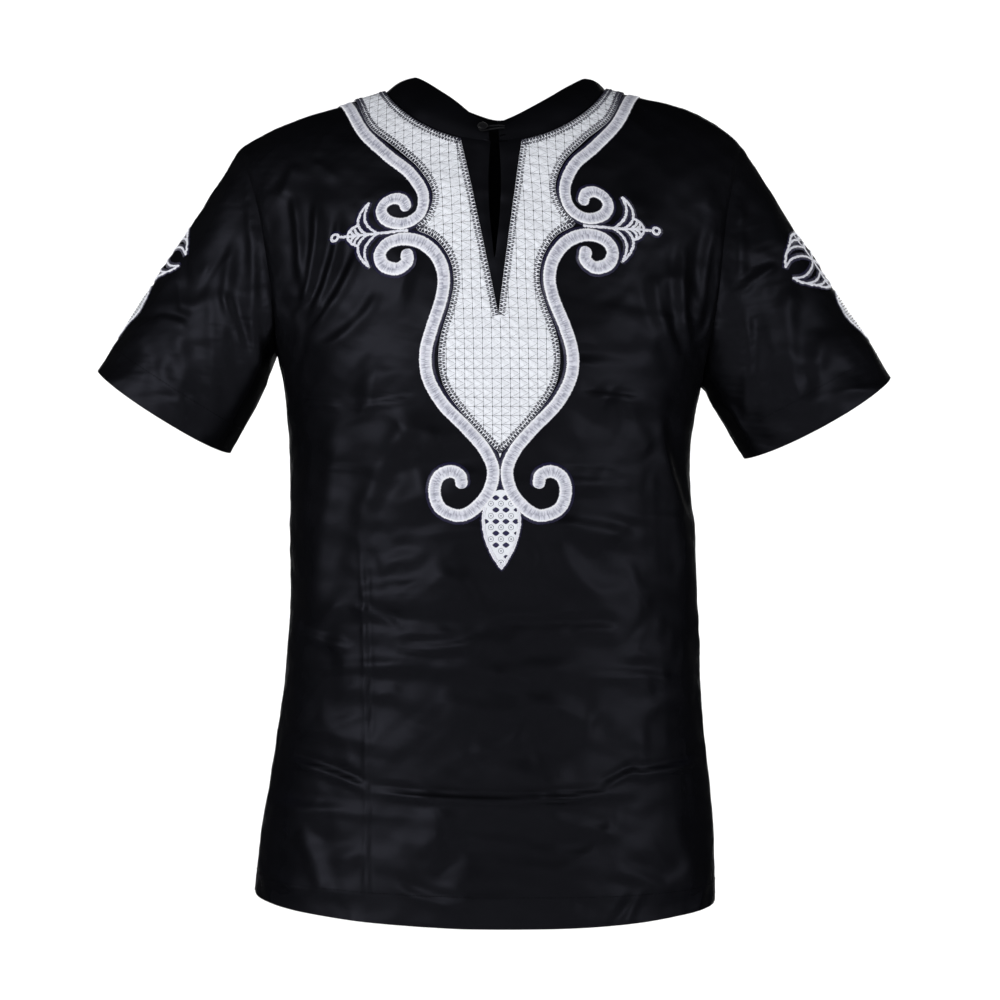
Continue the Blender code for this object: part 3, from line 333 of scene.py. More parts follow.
# %% [markdown]
# ## The front
# The front panel reaches from the shoulder seams to the hem. The longest crease crosses
# it low down, where the shirt was folded, and an ironed line runs up its left side. Each
# row of the table is one crease, in millimetres. A row is easier to change than a brush
# stroke would be.

# %% Creases of the front
FRONT_CREASES = (
    Crease(-190, -602, -108, -624, 3, 3.4, 4.0),
    Crease(-124, -622, 110, -624, -7, 3.0, 4.8),
    Crease(84, -622, 122, -604, 0, 2.8, 2.8),
    Crease(100, -611, 178, -602, -3, 3.2, 3.4),
    Crease(-120, -400, -113, -600, 2, 2.2, 1.2),
    Crease(-113, -560, -112, -738, 0, 2.0, 1.0),
    Crease(-180, -488, -120, -503, -4, 4.5, 2.2),
    Crease(-130, -470, -82, -487, 3, 4.0, 2.0),
    Crease(-92, -503, -8, -493, -5, 4.2, 2.4),
    Crease(-5, -478, 70, -478, -3, 4.0, -2.2),
    Crease(58, -489, 102, -489, 2, 4.2, 2.0),
    Crease(-60, -516, 40, -540, 4, 6.0, 2.0),
    Crease(-20, -530, 68, -520, 6, 6.5, 1.8),
    Crease(10, -545, 82, -570, 5, 8.0, 2.2),
    Crease(-160, -540, -40, -556, 8, 9.0, 1.6),
    Crease(30, -645, 110, -668, 4, 5.0, 1.5),
    Crease(15, -668, 88, -676, -3, 5.0, 1.5),
    Crease(-92, -700, -30, -718, -4, 4.2, 1.8),
    Crease(-40, -718, 20, -712, 3, 5.0, 1.3),
    Crease(90, -690, 150, -716, 4, 6.0, 1.4),
    Crease(-178, -294, -130, -300, 2, 2.6, 1.6),
    Crease(-132, -298, -66, -291, -2, 2.6, 1.5),
    Crease(62, -290, 124, -294, 2, 2.4, 1.5),
    Crease(-158, -349, -98, -350, 0, 1.8, 0.9),
    Crease(48, -352, 104, -353, 0, 1.8, 0.9),
    Crease(-68, -302, -122, -418, -8, 9.0, 2.6),
    Crease(-140, -300, -168, -480, 6, 10.0, 2.4),
    Crease(136, -296, 166, -400, -6, 6.0, 2.2),
    Crease(128, -310, 168, -470, 4, 9.0, 2.0),
    Crease(-92, -320, -60, -390, 6, 8.0, 1.6),
    Crease(-166, -240, -118, -158, -7, 5.0, 3.0),
    Crease(-168, -232, -136, -128, -8, 4.6, 3.2),
    Crease(-172, -222, -158, -112, -6, 4.6, 3.0),
    Crease(-170, -206, -180, -106, -2, 4.4, 2.4),
    Crease(-160, -252, -98, -196, -9, 5.4, 2.2),
    Crease(-190, -118, -176, -84, 0, 6.0, 1.8),
    Crease(168, -262, 160, -150, 8, 5.0, 2.6),
    Crease(160, -262, 128, -176, 8, 6.0, 2.4),
    Crease(172, -236, 186, -132, 3, 4.8, 2.2),
    Crease(120, -160, 106, -96, 4, 7.0, 1.8),
    Crease(150, -126, 132, -70, 3, 8.0, 1.5),
    Crease(-62, -432, -16, -470, 5, 7.0, 1.4),
    Crease(-110, -440, -60, -424, 4, 6.0, 1.5),
    Crease(52, -420, 96, -462, -6, 8.0, 1.5),
    Crease(120, -560, 176, -548, 4, 7.0, 1.8),
    Crease(-176, -650, -150, -720, 4, 8.0, 1.6),
    Crease(150, -640, 178, -720, -4, 9.0, 1.6),
    Crease(-30, -655, -70, -690, 4, 7.0, 1.0),
)
print(len(FRONT_CREASES), "creases on the front")

# %% Press creases and unevenness into a shell
SEAM_CALM = 14.0
SEAM_GROOVE = 0.5
SEAM_GROOVE_WIDTH = 2.6
PUCKER_HEIGHT, PUCKER_SIZE, PUCKER_AWAY, PUCKER_WIDTH = 0.45, 9, 6, 4
# flatter is how many times wider than tall the swells are. The small ones lie in patches.
Swell = namedtuple("Swell", "size flatter height")
LARGE, MIDDLING, SMALL = Swell(95, 1, 1.1), Swell(34, 1.5, 0.42), Swell(15, 2.2, 0.2)
PATCH_SIZE = 120


def swelling(points, swell, seed):
    """The lift that one size of swell gives."""
    return swell.height * unevenness(points * [1, 1, swell.flatter], swell.size, seed)


def press(piece, creases, seam, seed, roughness=1.0):
    """Lifts a shell's points by its creases, and draws it in along its seams."""
    points, normals = points_of(piece), vectors(piece.data.vertex_normals, "vector")
    marks = border_points(piece, seam)
    patches = smooth_step(0.5 + unevenness(points, PATCH_SIZE, seed + 3))
    lift = swelling(points, LARGE, seed) + swelling(points, MIDDLING, seed + 1)
    lift = roughness * (lift + swelling(points, SMALL, seed + 2) * patches)
    for face, table in creases:
        facing = smooth_step(0.5 + normals[:, 1] * face / 0.5)
        lift += crease_lift(table, points[:, 0], points[:, 2]) * facing
    if len(marks):
        far, _ = nearest_distance(points, points[marks])
        pucker = 0.5 + 0.5 * unevenness(points, PUCKER_SIZE, seed + 4)
        lift *= smooth_step(far / SEAM_CALM)
        lift -= SEAM_GROOVE * np.exp(-((far / SEAM_GROOVE_WIDTH) ** 2))
        beside_seam = np.exp(-(((far - PUCKER_AWAY) / PUCKER_WIDTH) ** 2)) * (far > 0.5)
        lift += PUCKER_HEIGHT * pucker * beside_seam
    move_to(piece, points + normals * lift[:, None])


# %% [markdown]
# ## Seams and thickness
# Two panels meet in a seam with no gap. Each shell was creased on its own, so a shell's
# edge is drawn onto its neighbour's edge wherever the two nearly meet, and the cloth
# beside it follows. The panels could be joined into one mesh instead, but a maker cuts
# them apart, and so do the pieces here.

# %% Sew a shell to its neighbours
SEW_REACH = 3.0
SEW_BLEND = 12.0


def sew(piece, neighbours):
    """Brings the piece's edge onto its neighbours' edges, where they nearly meet."""
    edges = np.concatenate([points_of(other)[open_edges(other)] for other in neighbours])
    starts, ends = edges[:, 0], edges[:, 1]
    points = points_of(piece)
    own = border_points(piece, lambda p: True)
    run = ends - starts
    run_squared = np.maximum(np.sum(run * run, axis=1), 1e-9)
    moves = np.zeros((len(own), 3))
    met = np.zeros(len(own), bool)
    for k, spot in enumerate(points[own]):
        share = np.clip(np.sum((spot - starts) * run, axis=1) / run_squared, 0, 1)
        near = starts + run * share[:, None]
        gap = np.linalg.norm(near - spot, axis=1)
        if gap.min() < SEW_REACH:
            moves[k] = near[gap.argmin()] - spot
            met[k] = True
    far, which = nearest_distance(points, points[own[met]])
    points += moves[met][which] * smooth_step(1 - far / SEW_BLEND)[:, None]
    move_to(piece, points)
    print(piece.name, "sewn at", int(met.sum()), "points")


# %% [markdown]
# Solidify gives a shell its wall. A vertex group makes the wall thicker where the cloth is
# turned up at a hem. The wall's inner side is seldom seen, so a Decimate that may touch
# only the points inside the rim takes about half of that side's faces away.

# %% Give a shell its thickness
CLOTH_WALL = 0.9 * MM
HEM_WALL = 1.9 * MM
FACES_KEPT = 0.75
CLOTH_SMOOTH = math.radians(60)


def thicken(piece, hem):
    """Solidifies a shell inwards, thicker where hem says that the edge is turned."""
    use(piece)
    points = points_of(piece)
    edge = border_points(piece, lambda spot: True)
    group = piece.vertex_groups.new(name="wall")
    turned = hem(points).round(2)
    for level in np.unique(turned):
        group.add(np.flatnonzero(turned == level).tolist(), float(level), "REPLACE")
    wall = piece.modifiers.new("wall", "SOLIDIFY")
    wall.thickness = HEM_WALL
    wall.offset = -1
    wall.vertex_group = "wall"
    wall.thickness_vertex_group = CLOTH_WALL / HEM_WALL
    bpy.ops.object.modifier_apply(modifier=wall.name)
    inside = piece.vertex_groups.new(name="inside")
    behind = np.setdiff1d(np.arange(len(points), len(piece.data.vertices)), edge + len(points))
    inside.add(behind.tolist(), 1.0, "REPLACE")
    plainer = piece.modifiers.new("plainer", "DECIMATE")
    plainer.ratio = FACES_KEPT
    plainer.vertex_group = "inside"
    bpy.ops.object.modifier_apply(modifier=plainer.name)
    bpy.ops.object.shade_smooth_by_angle(angle=CLOTH_SMOOTH)
    print(piece.name, "with its wall:", len(piece.data.polygons), "faces")


# %% Build the front shell
BODY_HEM_TOP = -709.0
HEM_TILT = -0.0195
BODY_CENTRE = -0.007
BODY_INSIDE = (BODY_CENTRE, 0, -0.35)
LOWEST_SEAM = -722
FINENESS = 3


def above_hem(point):
    """Whether an edge point is on a seam, and not on the hem."""
    return point[2] > LOWEST_SEAM


front = outer_face("front", "front_cloth", BODY_INSIDE)
refine(front, FINENESS)
press(front, [(-1, FRONT_CREASES)], above_hem, seed=11)
print("front shell:", len(front.data.polygons), "faces")

# %% [markdown]
# ## The back
# The back is one straight panel and hangs more freely. It carries the same packet lines
# as the front and a few long hanging folds below the shoulder blades. It could share the
# front's table, but then every crease would show up twice.

# %% Creases of the back
BACK_CREASES = (
    Crease(-186, -604, -60, -622, 4, 3.4, 2.6),
    Crease(-62, -620, 90, -618, -5, 3.2, 2.8),
    Crease(84, -617, 178, -600, -3, 3.4, 2.2),
    Crease(104, -300, 108, -500, -2, 2.0, 1.0),
    Crease(107, -480, 106, -736, 0, 2.0, 1.0),
    Crease(-166, -350, -20, -352, 0, 1.8, 0.9),
    Crease(10, -352, 150, -350, 0, 1.8, 0.8),
    Crease(-30, -130, -52, -330, 8, 13.0, 3.0),
    Crease(40, -150, 62, -360, -8, 14.0, 2.8),
    Crease(-150, -240, -92, -170, 8, 6.0, 3.0),
    Crease(-160, -226, -128, -132, 6, 5.0, 2.8),
    Crease(140, -256, 84, -182, -8, 6.0, 2.8),
    Crease(158, -240, 122, -140, -6, 5.0, 2.6),
    Crease(-150, -410, -30, -436, 9, 9.0, 2.4),
    Crease(-20, -430, 96, -420, -9, 9.0, 2.2),
    Crease(-90, -470, 50, -486, 8, 7.0, 2.2),
    Crease(60, -500, 160, -480, 5, 8.0, 2.0),
    Crease(-170, -520, -70, -548, -6, 8.0, 1.8),
    Crease(-30, -560, 70, -572, 4, 9.0, 1.6),
    Crease(-140, -660, -50, -688, 5, 7.0, 1.5),
    Crease(20, -668, 120, -690, -5, 8.0, 1.6),
    Crease(-158, -330, -142, -470, -6, 10.0, 2.0),
    Crease(160, -330, 148, -480, 6, 10.0, 2.0),
)
back = outer_face("back", "back_cloth", BODY_INSIDE)
refine(back, FINENESS)
press(back, [(1, BACK_CREASES)], above_hem, seed=23)
sew(back, [front])
print("back shell:", len(back.data.polygons), "faces")

# %% [markdown]
# ## The sleeves
# A sleeve of stiff cotton stands off the arm and drops in long folds from its cap. The
# folds run down the sleeve. They could be swept round it as rings, but the same kind of
# table as on the body is simpler, once for the side that shows in front and once for the
# side behind.

# %% Creases of the sleeves
LEFT_SLEEVE_FRONT = (
    Crease(-222, -104, -216, -236, 5, 5.5, 2.4),
    Crease(-232, -136, -238, -290, -4, 6.0, 2.2),
    Crease(-246, -190, -224, -256, 3, 4.2, 1.9),
    Crease(-254, -186, -254, -312, 4, 7.0, 2.0),
    Crease(-214, -216, -206, -268, -3, 5.0, 2.0),
    Crease(-282, -226, -280, -322, 4, 8.0, 1.6),
    Crease(-308, -218, -272, -226, 3, 4.0, 1.2),
    Crease(-300, -250, -268, -300, -5, 8.0, 1.4),
    Crease(-240, -90, -268, -176, 6, 11.0, 1.8),
)
RIGHT_SLEEVE_FRONT = (
    Crease(206, -200, 246, -172, 3, 4.6, 2.0),
    Crease(213, -110, 211, -200, -4, 7.0, 2.2),
    Crease(213, -202, 216, -318, 2, 5.5, 2.2),
    Crease(253, -188, 262, -300, -4, 8.0, 2.0),
    Crease(236, -220, 230, -320, 3, 11.0, 1.4),
    Crease(278, -236, 272, -318, 3, 9.0, 1.5),
    Crease(236, -96, 262, -170, -6, 11.0, 1.8),
)
LEFT_SLEEVE_BACK = (
    Crease(-222, -100, -220, -256, -5, 4.5, 2.6),
    Crease(-240, -150, -252, -300, 5, 5.0, 2.2),
    Crease(-270, -200, -286, -310, -4, 5.0, 2.0),
    Crease(-250, -96, -296, -196, 6, 8.0, 1.8),
)
RIGHT_SLEEVE_BACK = (
    Crease(210, -110, 208, -256, 5, 4.5, 2.6),
    Crease(230, -150, 246, -302, -5, 5.0, 2.2),
    Crease(258, -200, 276, -306, 4, 5.0, 2.0),
    Crease(244, -100, 286, -200, -6, 8.0, 1.8),
)
Sleeve = namedtuple("Sleeve", "inside front back seed")
SLEEVES = {
    "left": Sleeve((-0.265, 0.008, -0.24), LEFT_SLEEVE_FRONT, LEFT_SLEEVE_BACK, 37),
    "right": Sleeve((0.25, 0.008, -0.245), RIGHT_SLEEVE_FRONT, RIGHT_SLEEVE_BACK, 41),
}
print(len(LEFT_SLEEVE_FRONT), "and", len(RIGHT_SLEEVE_FRONT), "folds on the sleeves' fronts")

# %% Build the sleeves
# The cuff's edge lies on a straight line from its outer to its inner corner, so a point
# belongs to the armhole where it is well above that line.
Cuff = namedtuple("Cuff", "outer_x outer_z inner_x inner_z")
CUFFS = {"left": Cuff(-362, -260, -240, -337.5), "right": Cuff(352, -266, 219, -341)}
ARMHOLE_ABOVE = 30


def above_cuff(points, side):
    """How far up the sleeve each point is from the cuff's edge."""
    cuff = CUFFS[side]
    run = np.array([cuff.inner_x - cuff.outer_x, cuff.inner_z - cuff.outer_z], float)
    run /= np.hypot(*run)
    up = np.array([-run[1], run[0]]) * (1 if side == "left" else -1)
    return (points[:, 0] - cuff.outer_x) * up[0] + (points[:, 2] - cuff.outer_z) * up[1]


sleeves = {}
for side, plan in SLEEVES.items():

    def on_armhole(point, side=side):
        return above_cuff(point[None], side)[0] > ARMHOLE_ABOVE

    sleeve = outer_face("sleeve_" + side, f"sleeve_{side}_cloth", plan.inside)
    refine(sleeve, FINENESS)
    press(sleeve, [(-1, plan.front), (1, plan.back)], on_armhole, plan.seed)
    sew(sleeve, [front, back])
    sleeves[side] = sleeve
    print(sleeve.name, len(sleeve.data.polygons), "faces")

# %% [markdown]
# ## The collar band
# The band is a straight strip that is eased round the neckline, so it rolls a little
# outwards. It is two layers thick and has no loose folds, only a little unevenness. It
# needs no table of creases: pressed at a third of the strength it is done.

# %% Build the band
BAND_INSIDE = (0, 0, -0.06)
BAND_ROUGHNESS = 0.35

band = outer_face("neck_band", "neck_band_cloth", BAND_INSIDE)
refine(band, FINENESS)
press(band, [], lambda point: False, seed=53, roughness=BAND_ROUGHNESS)
sew(band, [front, back])
print("band:", len(band.data.polygons), "faces")

# %% Keep the outer faces to embroider on, and thicken the shells
CUFF_TURN = 22
BAND_SHARE = 0.2


def surface_of(piece):
    """A search tree over the piece as it is now."""
    return BVHTree.FromObject(piece, bpy.context.evaluated_depsgraph_get())


def hem_share(points):
    """1 in the turned-up hem and 0 above it."""
    return smooth_step((BODY_HEM_TOP + HEM_TILT * points[:, 0] - points[:, 2]) / 2 + 0.5)


front_surface = surface_of(front)
sleeve_surface = {side: surface_of(sleeve) for side, sleeve in sleeves.items()}
thicken(front, hem_share)
thicken(back, hem_share)
thicken(band, lambda points: np.full(len(points), BAND_SHARE))
for side, sleeve in sleeves.items():

    def cuff_share(points, side=side):
        return smooth_step((CUFF_TURN - above_cuff(points, side)) / 2 + 0.5)

    thicken(sleeve, cuff_share)

# %% [markdown]
# ## Building a finish from nodes
# Every finish here is a noise on the piece's own coordinates, which colours it, changes
# its gloss and raises it a little. A few short helpers make those nodes and link them, so
# a finish reads as a list of what it has.

# %% Helpers for finishes
def new_finish(name):
    """A new material, its node tree and its shader."""
    material = bpy.data.materials.new(name)
    material.use_nodes = True
    return material, material.node_tree, material.node_tree.nodes["Principled BSDF"]


def add_node(tree, kind, **inputs):
    """A node with the named inputs set. A socket links to it, and a number is kept."""
    node = tree.nodes.new(kind)
    for name, value in inputs.items():
        socket = node.inputs[name.replace("_", " ")]
        if isinstance(value, bpy.types.NodeSocket):
            tree.links.new(value, socket)
        else:
            socket.default_value = value
    return node


def noise(tree, stretch=(1, 1, 1), ridged=False, **inputs):
    """A noise on Object coordinates, finer along the axes where stretch is larger."""
    place = tree.nodes.new("ShaderNodeTexCoord").outputs["Object"]
    mapping = add_node(tree, "ShaderNodeMapping", Vector=place, Scale=stretch)
    pattern = add_node(tree, "ShaderNodeTexNoise", Vector=mapping.outputs["Vector"], **inputs)
    if ridged:
        pattern.noise_type = "RIDGED_MULTIFRACTAL"
    return pattern.outputs["Fac"]


# %% Helpers for what a pattern drives
def remap(tree, value, to_min, to_max, from_min=0.0, from_max=1.0):
    """The value moved from one range to another."""
    node = tree.nodes.new("ShaderNodeMapRange")
    tree.links.new(value, node.inputs["Value"])
    ends = {"To Min": to_min, "To Max": to_max, "From Min": from_min, "From Max": from_max}
    for name, number in ends.items():
        node.inputs[name].default_value = number
    return node.outputs["Result"]


def blend_colours(tree, value, dark, light):
    """A colour between dark and light."""
    node = tree.nodes.new("ShaderNodeValToRGB")
    node.color_ramp.elements[0].color = (*dark, 1)
    node.color_ramp.elements[1].color = (*light, 1)
    tree.links.new(value, node.inputs["Fac"])
    return node.outputs["Color"]


def raised(tree, height, strength, distance, over=None):
    """A bump of that height, on top of another bump if one is given."""
    node = add_node(tree, "ShaderNodeBump", Height=height, Strength=strength, Distance=distance)
    if over:
        tree.links.new(over, node.inputs["Normal"])
    return node.outputs["Normal"]


# %% [markdown]
# ## Polished cotton
# Polished cotton is a tight plain weave, calendered until it mirrors a little. What shows
# on black cloth is only that mirroring, so the finish is nearly a dark metal: its
# highlights are as dark as its dye, and its edges don't turn pale. The packet leaves a
# crinkle all over and longer folds that lie level, and the folds fade towards the
# shoulders, where the cloth is taut. The threads catch light as fine slubs along and
# across. All this could be modelled, but it is finer than the shell's faces, so it is bump.

# %% Mix the cotton
COTTON_DARK, COTTON_LIGHT = (0.0077, 0.0079, 0.0102), (0.0122, 0.0125, 0.0157)
COTTON_ROUGHNESS = (0.42, 0.54)
COTTON_METAL, COTTON_IOR = 0.85, 1.05
TAUT_ABOVE, LOOSE_BELOW = -0.12, -0.28
TAUT_STRENGTH = 0.2
THREAD_LENGTH, THREAD_COUNT = 90, 1400


def make_cotton():
    """The cotton: patches of gloss, level folds, a crinkle and the weave."""
    material, tree, shader = new_finish("polished_black_cotton")
    link = tree.links.new
    patches = noise(tree, Scale=14.0, Detail=4.0, Roughness=0.6)
    link(blend_colours(tree, patches, COTTON_DARK, COTTON_LIGHT), shader.inputs["Base Color"])
    link(remap(tree, patches, *COTTON_ROUGHNESS), shader.inputs["Roughness"])
    shader.inputs["Metallic"].default_value = COTTON_METAL
    shader.inputs["IOR"].default_value = COTTON_IOR
    shader.inputs["Specular Tint"].default_value = (0.0, 0.0, 0.0, 1)
    place = tree.nodes.new("ShaderNodeTexCoord").outputs["Object"]
    height = add_node(tree, "ShaderNodeSeparateXYZ", Vector=place).outputs["Z"]
    looseness = remap(tree, height, TAUT_STRENGTH, 1.0, TAUT_ABOVE, LOOSE_BELOW)
    folds = noise(tree, (7, 7, 26), True, Scale=1.0, Detail=3.0, Roughness=0.45, Distortion=0.4)
    crinkle = noise(tree, ridged=True, Scale=22.0, Detail=6.0, Roughness=0.6, Distortion=0.6)
    across = noise(tree, (THREAD_LENGTH, THREAD_LENGTH, THREAD_COUNT), Scale=1.0, Detail=2.0)
    along = noise(tree, (THREAD_COUNT, THREAD_COUNT, THREAD_LENGTH), Scale=1.0, Detail=2.0)
    slubs = tree.nodes.new("ShaderNodeMath")
    slubs.operation = "ADD"
    link(across, slubs.inputs[0])
    link(along, slubs.inputs[1])
    surface = raised(tree, folds, looseness, 0.0100)
    surface = raised(tree, crinkle, 1.0, 0.0050, surface)
    surface = raised(tree, slubs.outputs["Value"], 0.35, 0.00012, surface)
    link(surface, shader.inputs["Normal"])
    return material


cotton = make_cotton()
for piece in (front, back, band, *sleeves.values()):
    piece.data.materials.clear()
    piece.data.materials.append(cotton)
print(cotton.name, "has", len(cotton.node_tree.nodes), "nodes")

# %% [markdown]
# ## The cut of each panel
# A panel is cut flat before it is sewn. Its flat width and length are half the girth of
# the body and the way from shoulder to hem, and its area is less than their product,
# because the armholes and the neck are cut out.

Cut = namedtuple("Cut", "piece node flat area")
CUTS = (
    Cut(front, "front", (0.57, 0.80), 0.35),
    Cut(back, "back", (0.57, 0.80), 0.35),
    Cut(sleeves["left"], "sleeve_left", (0.46, 0.26), 0.075),
    Cut(sleeves["right"], "sleeve_right", (0.46, 0.26), 0.075),
    Cut(band, "neck_band", (0.50, 0.035), 0.016),
)
for cut in CUTS:
    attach(cut.piece, "root")
    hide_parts(cut.node)
print("cloth:", round(sum(cut.area for cut in CUTS), 2), "square metres")

# %% [markdown]
# ## Embroidery, drawn on flat cloth
# Machine embroidery is drawn on cloth that lies flat. So every line below is given as a
# distance from the shirt's middle and a distance down from the shoulder seam, and is
# laid on the creased front at the end. It could be drawn in space instead, but then no
# two stitches would be equally far apart. The middle line leans a little, as it does on a
# shirt that was framed by hand. One side is drawn and the other mirrored.

# %% The shoulder seam and the leaning middle line
Shoulder = namedtuple("Shoulder", "distance left right")
SHOULDER = (
    Shoulder(0, 12, 12),
    Shoulder(50, 3, 2),
    Shoulder(100, -11, -11),
    Shoulder(135, -23, -20),
    Shoulder(160, -30, -25),
    Shoulder(180, -36, -33),
    Shoulder(197, -43, -43),
    Shoulder(210, -49, -54),
    Shoulder(222, -56, -65),
    Shoulder(236, -64, -78),
)
SHOULDER_CROSSOVER = 40

Lean = namedtuple("Lean", "distance centre raise_right")
LEAN = (
    Lean(0, -9.5, 0),
    Lean(75, -8.0, 2.4),
    Lean(125, -6.5, 2.6),
    Lean(150, -4.5, 2.2),
    Lean(180, -3.4, 1.4),
    Lean(215, -2.8, 0),
    Lean(250, -1.2, 0),
    Lean(290, -0.5, 0),
    Lean(340, 0, 0),
    Lean(480, 0, 0),
)


# %% Read a table smoothly
def read(rows, column, at):
    """The smooth value of one column of a table, between its rows."""
    knots = np.array([row[0] for row in rows], float)
    values = np.array([getattr(row, column) for row in rows], float)
    slopes = np.gradient(values, knots)
    at = np.asarray(at, float)
    i = np.clip(np.searchsorted(knots, at) - 1, 0, len(knots) - 2)
    step = knots[i + 1] - knots[i]
    f = np.clip((at - knots[i]) / step, 0, 1)
    return (
        (1 + 2 * f) * (1 - f) ** 2 * values[i]
        + f * (1 - f) ** 2 * step * slopes[i]
        + f * f * (3 - 2 * f) * values[i + 1]
        - f * f * (1 - f) * step * slopes[i + 1]
    )


def unit(vectors):
    """The vectors at length one."""
    return vectors / np.maximum(np.linalg.norm(vectors, axis=-1, keepdims=True), 1e-12)


def shoulder_line(x):
    """Height of the shoulder seam at x. It runs on, unseen, across the neck."""
    left, right = read(SHOULDER, "left", np.abs(x)), read(SHOULDER, "right", np.abs(x))
    turn = smooth_step(x / SHOULDER_CROSSOVER + 0.5)
    return left * (1 - turn) + right * turn


print("the shoulder seam falls to", float(shoulder_line(np.array(200.0)).round(1)), "mm")

# %% From flat cloth to the front
# The cloth rolls over from the shoulder seam to the chest along a quarter of an ellipse.
CHEST_HEIGHT = -280.0
OVER_REACH, OVER_DROP = 100.0, 260.0
CLEAR_IN_FRONT = -300

turn = np.linspace(0, math.pi / 2, 361)
middle = (turn[1:] + turn[:-1]) / 2
stretch = np.hypot(OVER_REACH * np.cos(middle), OVER_DROP * np.sin(middle))
FALL_DISTANCE = np.concatenate([[0], np.cumsum(stretch * np.diff(turn))])
FALL_SHARE = 1 - np.cos(turn)


def height_at(x, distance):
    """Z of the cloth at a distance down from the shoulder seam."""
    ridge = shoulder_line(x)
    on_yoke = ridge - (ridge - CHEST_HEIGHT) * np.interp(distance, FALL_DISTANCE, FALL_SHARE)
    return on_yoke - np.maximum(distance - FALL_DISTANCE[-1], 0)


def distance_at(x, z):
    """How far down the cloth a height is: the reverse of height_at."""
    ridge = shoulder_line(x)
    share = np.clip((ridge - z) / (ridge - CHEST_HEIGHT), 0, 1)
    return np.interp(share, FALL_SHARE, FALL_DISTANCE) + np.maximum(CHEST_HEIGHT - z, 0)


def lay_on_front(flat):
    """The places on the creased front of flat (x, distance) points."""
    x = flat[:, 0]
    z = height_at(x, flat[:, 1])
    spots = np.empty((len(flat), 3))
    for k in range(len(flat)):
        spot = front_surface.ray_cast(Vector((x[k], CLEAR_IN_FRONT, z[k])) * MM, Vector((0, 1, 0)))[0]
        if spot is None:
            spot = front_surface.find_nearest(Vector((x[k], 0, z[k])) * MM)[0]
        spots[k] = spot
    return spots / MM


# A ground is what embroidery is laid on: how a flat place is found on it, and which way
# its outside faces.
Ground = namedtuple("Ground", "lay facing")
FRONT = Ground(lay_on_front, (0, -1, 0.6))


def on_front(side, stitches):
    """Flat (x, distance) of a half drawing on the left or right of the front."""
    across, down = np.array(stitches, float).T
    x = read(LEAN, "centre", down) + side * across
    return np.stack([x, down - side * read(LEAN, "raise_right", down)], axis=-1)


print("the fall from seam to chest is", round(float(FALL_DISTANCE[-1])), "mm of cloth")

# %% Smooth lines
def smooth_curve(points):
    """A finely stepped smooth line through the points."""
    points = np.asarray(points, float)
    padded = np.vstack([2 * points[0] - points[1], points, 2 * points[-1] - points[-2]])
    line = [points[:1]]
    for a, b, c, d in zip(padded, padded[1:], padded[2:], padded[3:]):
        steps = [np.linalg.norm(q - p) ** 0.5 for p, q in ((a, b), (b, c), (c, d))]
        k0, k1, k2, k3 = np.cumsum([0] + steps)
        at = np.linspace(k1, k2, 25)[1:, None]
        ab = (k1 - at) / (k1 - k0) * a + (at - k0) / (k1 - k0) * b
        bc = (k2 - at) / (k2 - k1) * b + (at - k1) / (k2 - k1) * c
        cd = (k3 - at) / (k3 - k2) * c + (at - k2) / (k3 - k2) * d
        first = (k2 - at) / (k2 - k0) * ab + (at - k0) / (k2 - k0) * bc
        last = (k3 - at) / (k3 - k1) * bc + (at - k1) / (k3 - k1) * cd
        line.append((k2 - at) / (k2 - k1) * first + (at - k1) / (k2 - k1) * last)
    return np.concatenate(line)


def run_along(line):
    """How far along the line each of its points is."""
    return np.concatenate([[0], np.cumsum(np.linalg.norm(np.diff(line, axis=0), axis=1))])


def read_along(at, run, table):
    """The rows of a table of vectors at the given places along a run."""
    return np.stack([np.interp(at, run, column) for column in table.T], axis=-1)


def evenly(line, pitch, least=2):
    """The line with points an even pitch apart, or as near to it as fits."""
    run = run_along(line)
    count = max(least, round(run[-1] / pitch) + 1)
    return read_along(np.linspace(0, run[-1], count), run, line)


def sideways(line):
    """Unit vectors across a flat line, to its left."""
    along = unit(np.gradient(line, axis=0))
    return np.stack([-along[:, 1], along[:, 0]], axis=-1)


# %% [markdown]
# ## Satin stitch
# A satin band is hundreds of threads laid side by side across its line, over a thin
# padding. Two columns of stitches meet in its middle, so it has two soft humps with a
# valley between them, and its edges are slightly uneven. A dark under-stitch shows along
# both edges. Threads could be modelled one by one, but thousands of them would be too
# many faces. Each stroke here is one closed strip with a ridge for every thread, so the
# threads are real relief, and a colour attribute holds their tones: painted shade in the
# valley, in grey streaks that run across the band, a painted highlight along the edges,
# and painted shade in the grooves between threads.

# %% What a satin stroke is made of
# under is how far the dark under-stitch reaches out on the right and left of the line.
Satin = namedtuple("Satin", "half height valley pitch ragged under")
# The paler white at the edges is a painted highlight, and the darker alternate rows are painted shade in
# the grooves between threads.
# The satin's thread is white all over. The grey mixed into its middle is painted shade in the valley
# between the humps, deeper where the valley is deeper.
EDGE_HIGHLIGHT_WHITE = np.array([0.94, 0.95, 1.0])
WHITE_THREAD = np.array([0.89, 0.9, 0.99])
VALLEY_SHADE_GREY = np.array([0.2, 0.21, 0.3])
NAVY_THREAD = np.array([0.007, 0.0055, 0.034])
ACROSS = np.array([-1, -0.96, -0.84, -0.62, -0.38, -0.16, 0, 0.16, 0.38, 0.62, 0.84, 0.96, 1])
RIGHT_COLUMN = (ACROSS > 0).astype(int)
OUTER_EDGE = np.abs(ACROSS) > 0.9
EDGE_HIGHLIGHT = np.clip((np.abs(ACROSS) - 0.64) / 0.16, 0, 1)[:, None]
VALLEY_SHADE_ACROSS = np.exp(-((ACROSS / 0.45) ** 2)) * 0.45 + 0.3
HUMP = np.sqrt(np.clip(1 - ((np.abs(ACROSS) - 0.5) / 0.52) ** 4, 0, 1))
PADDING = 0.25
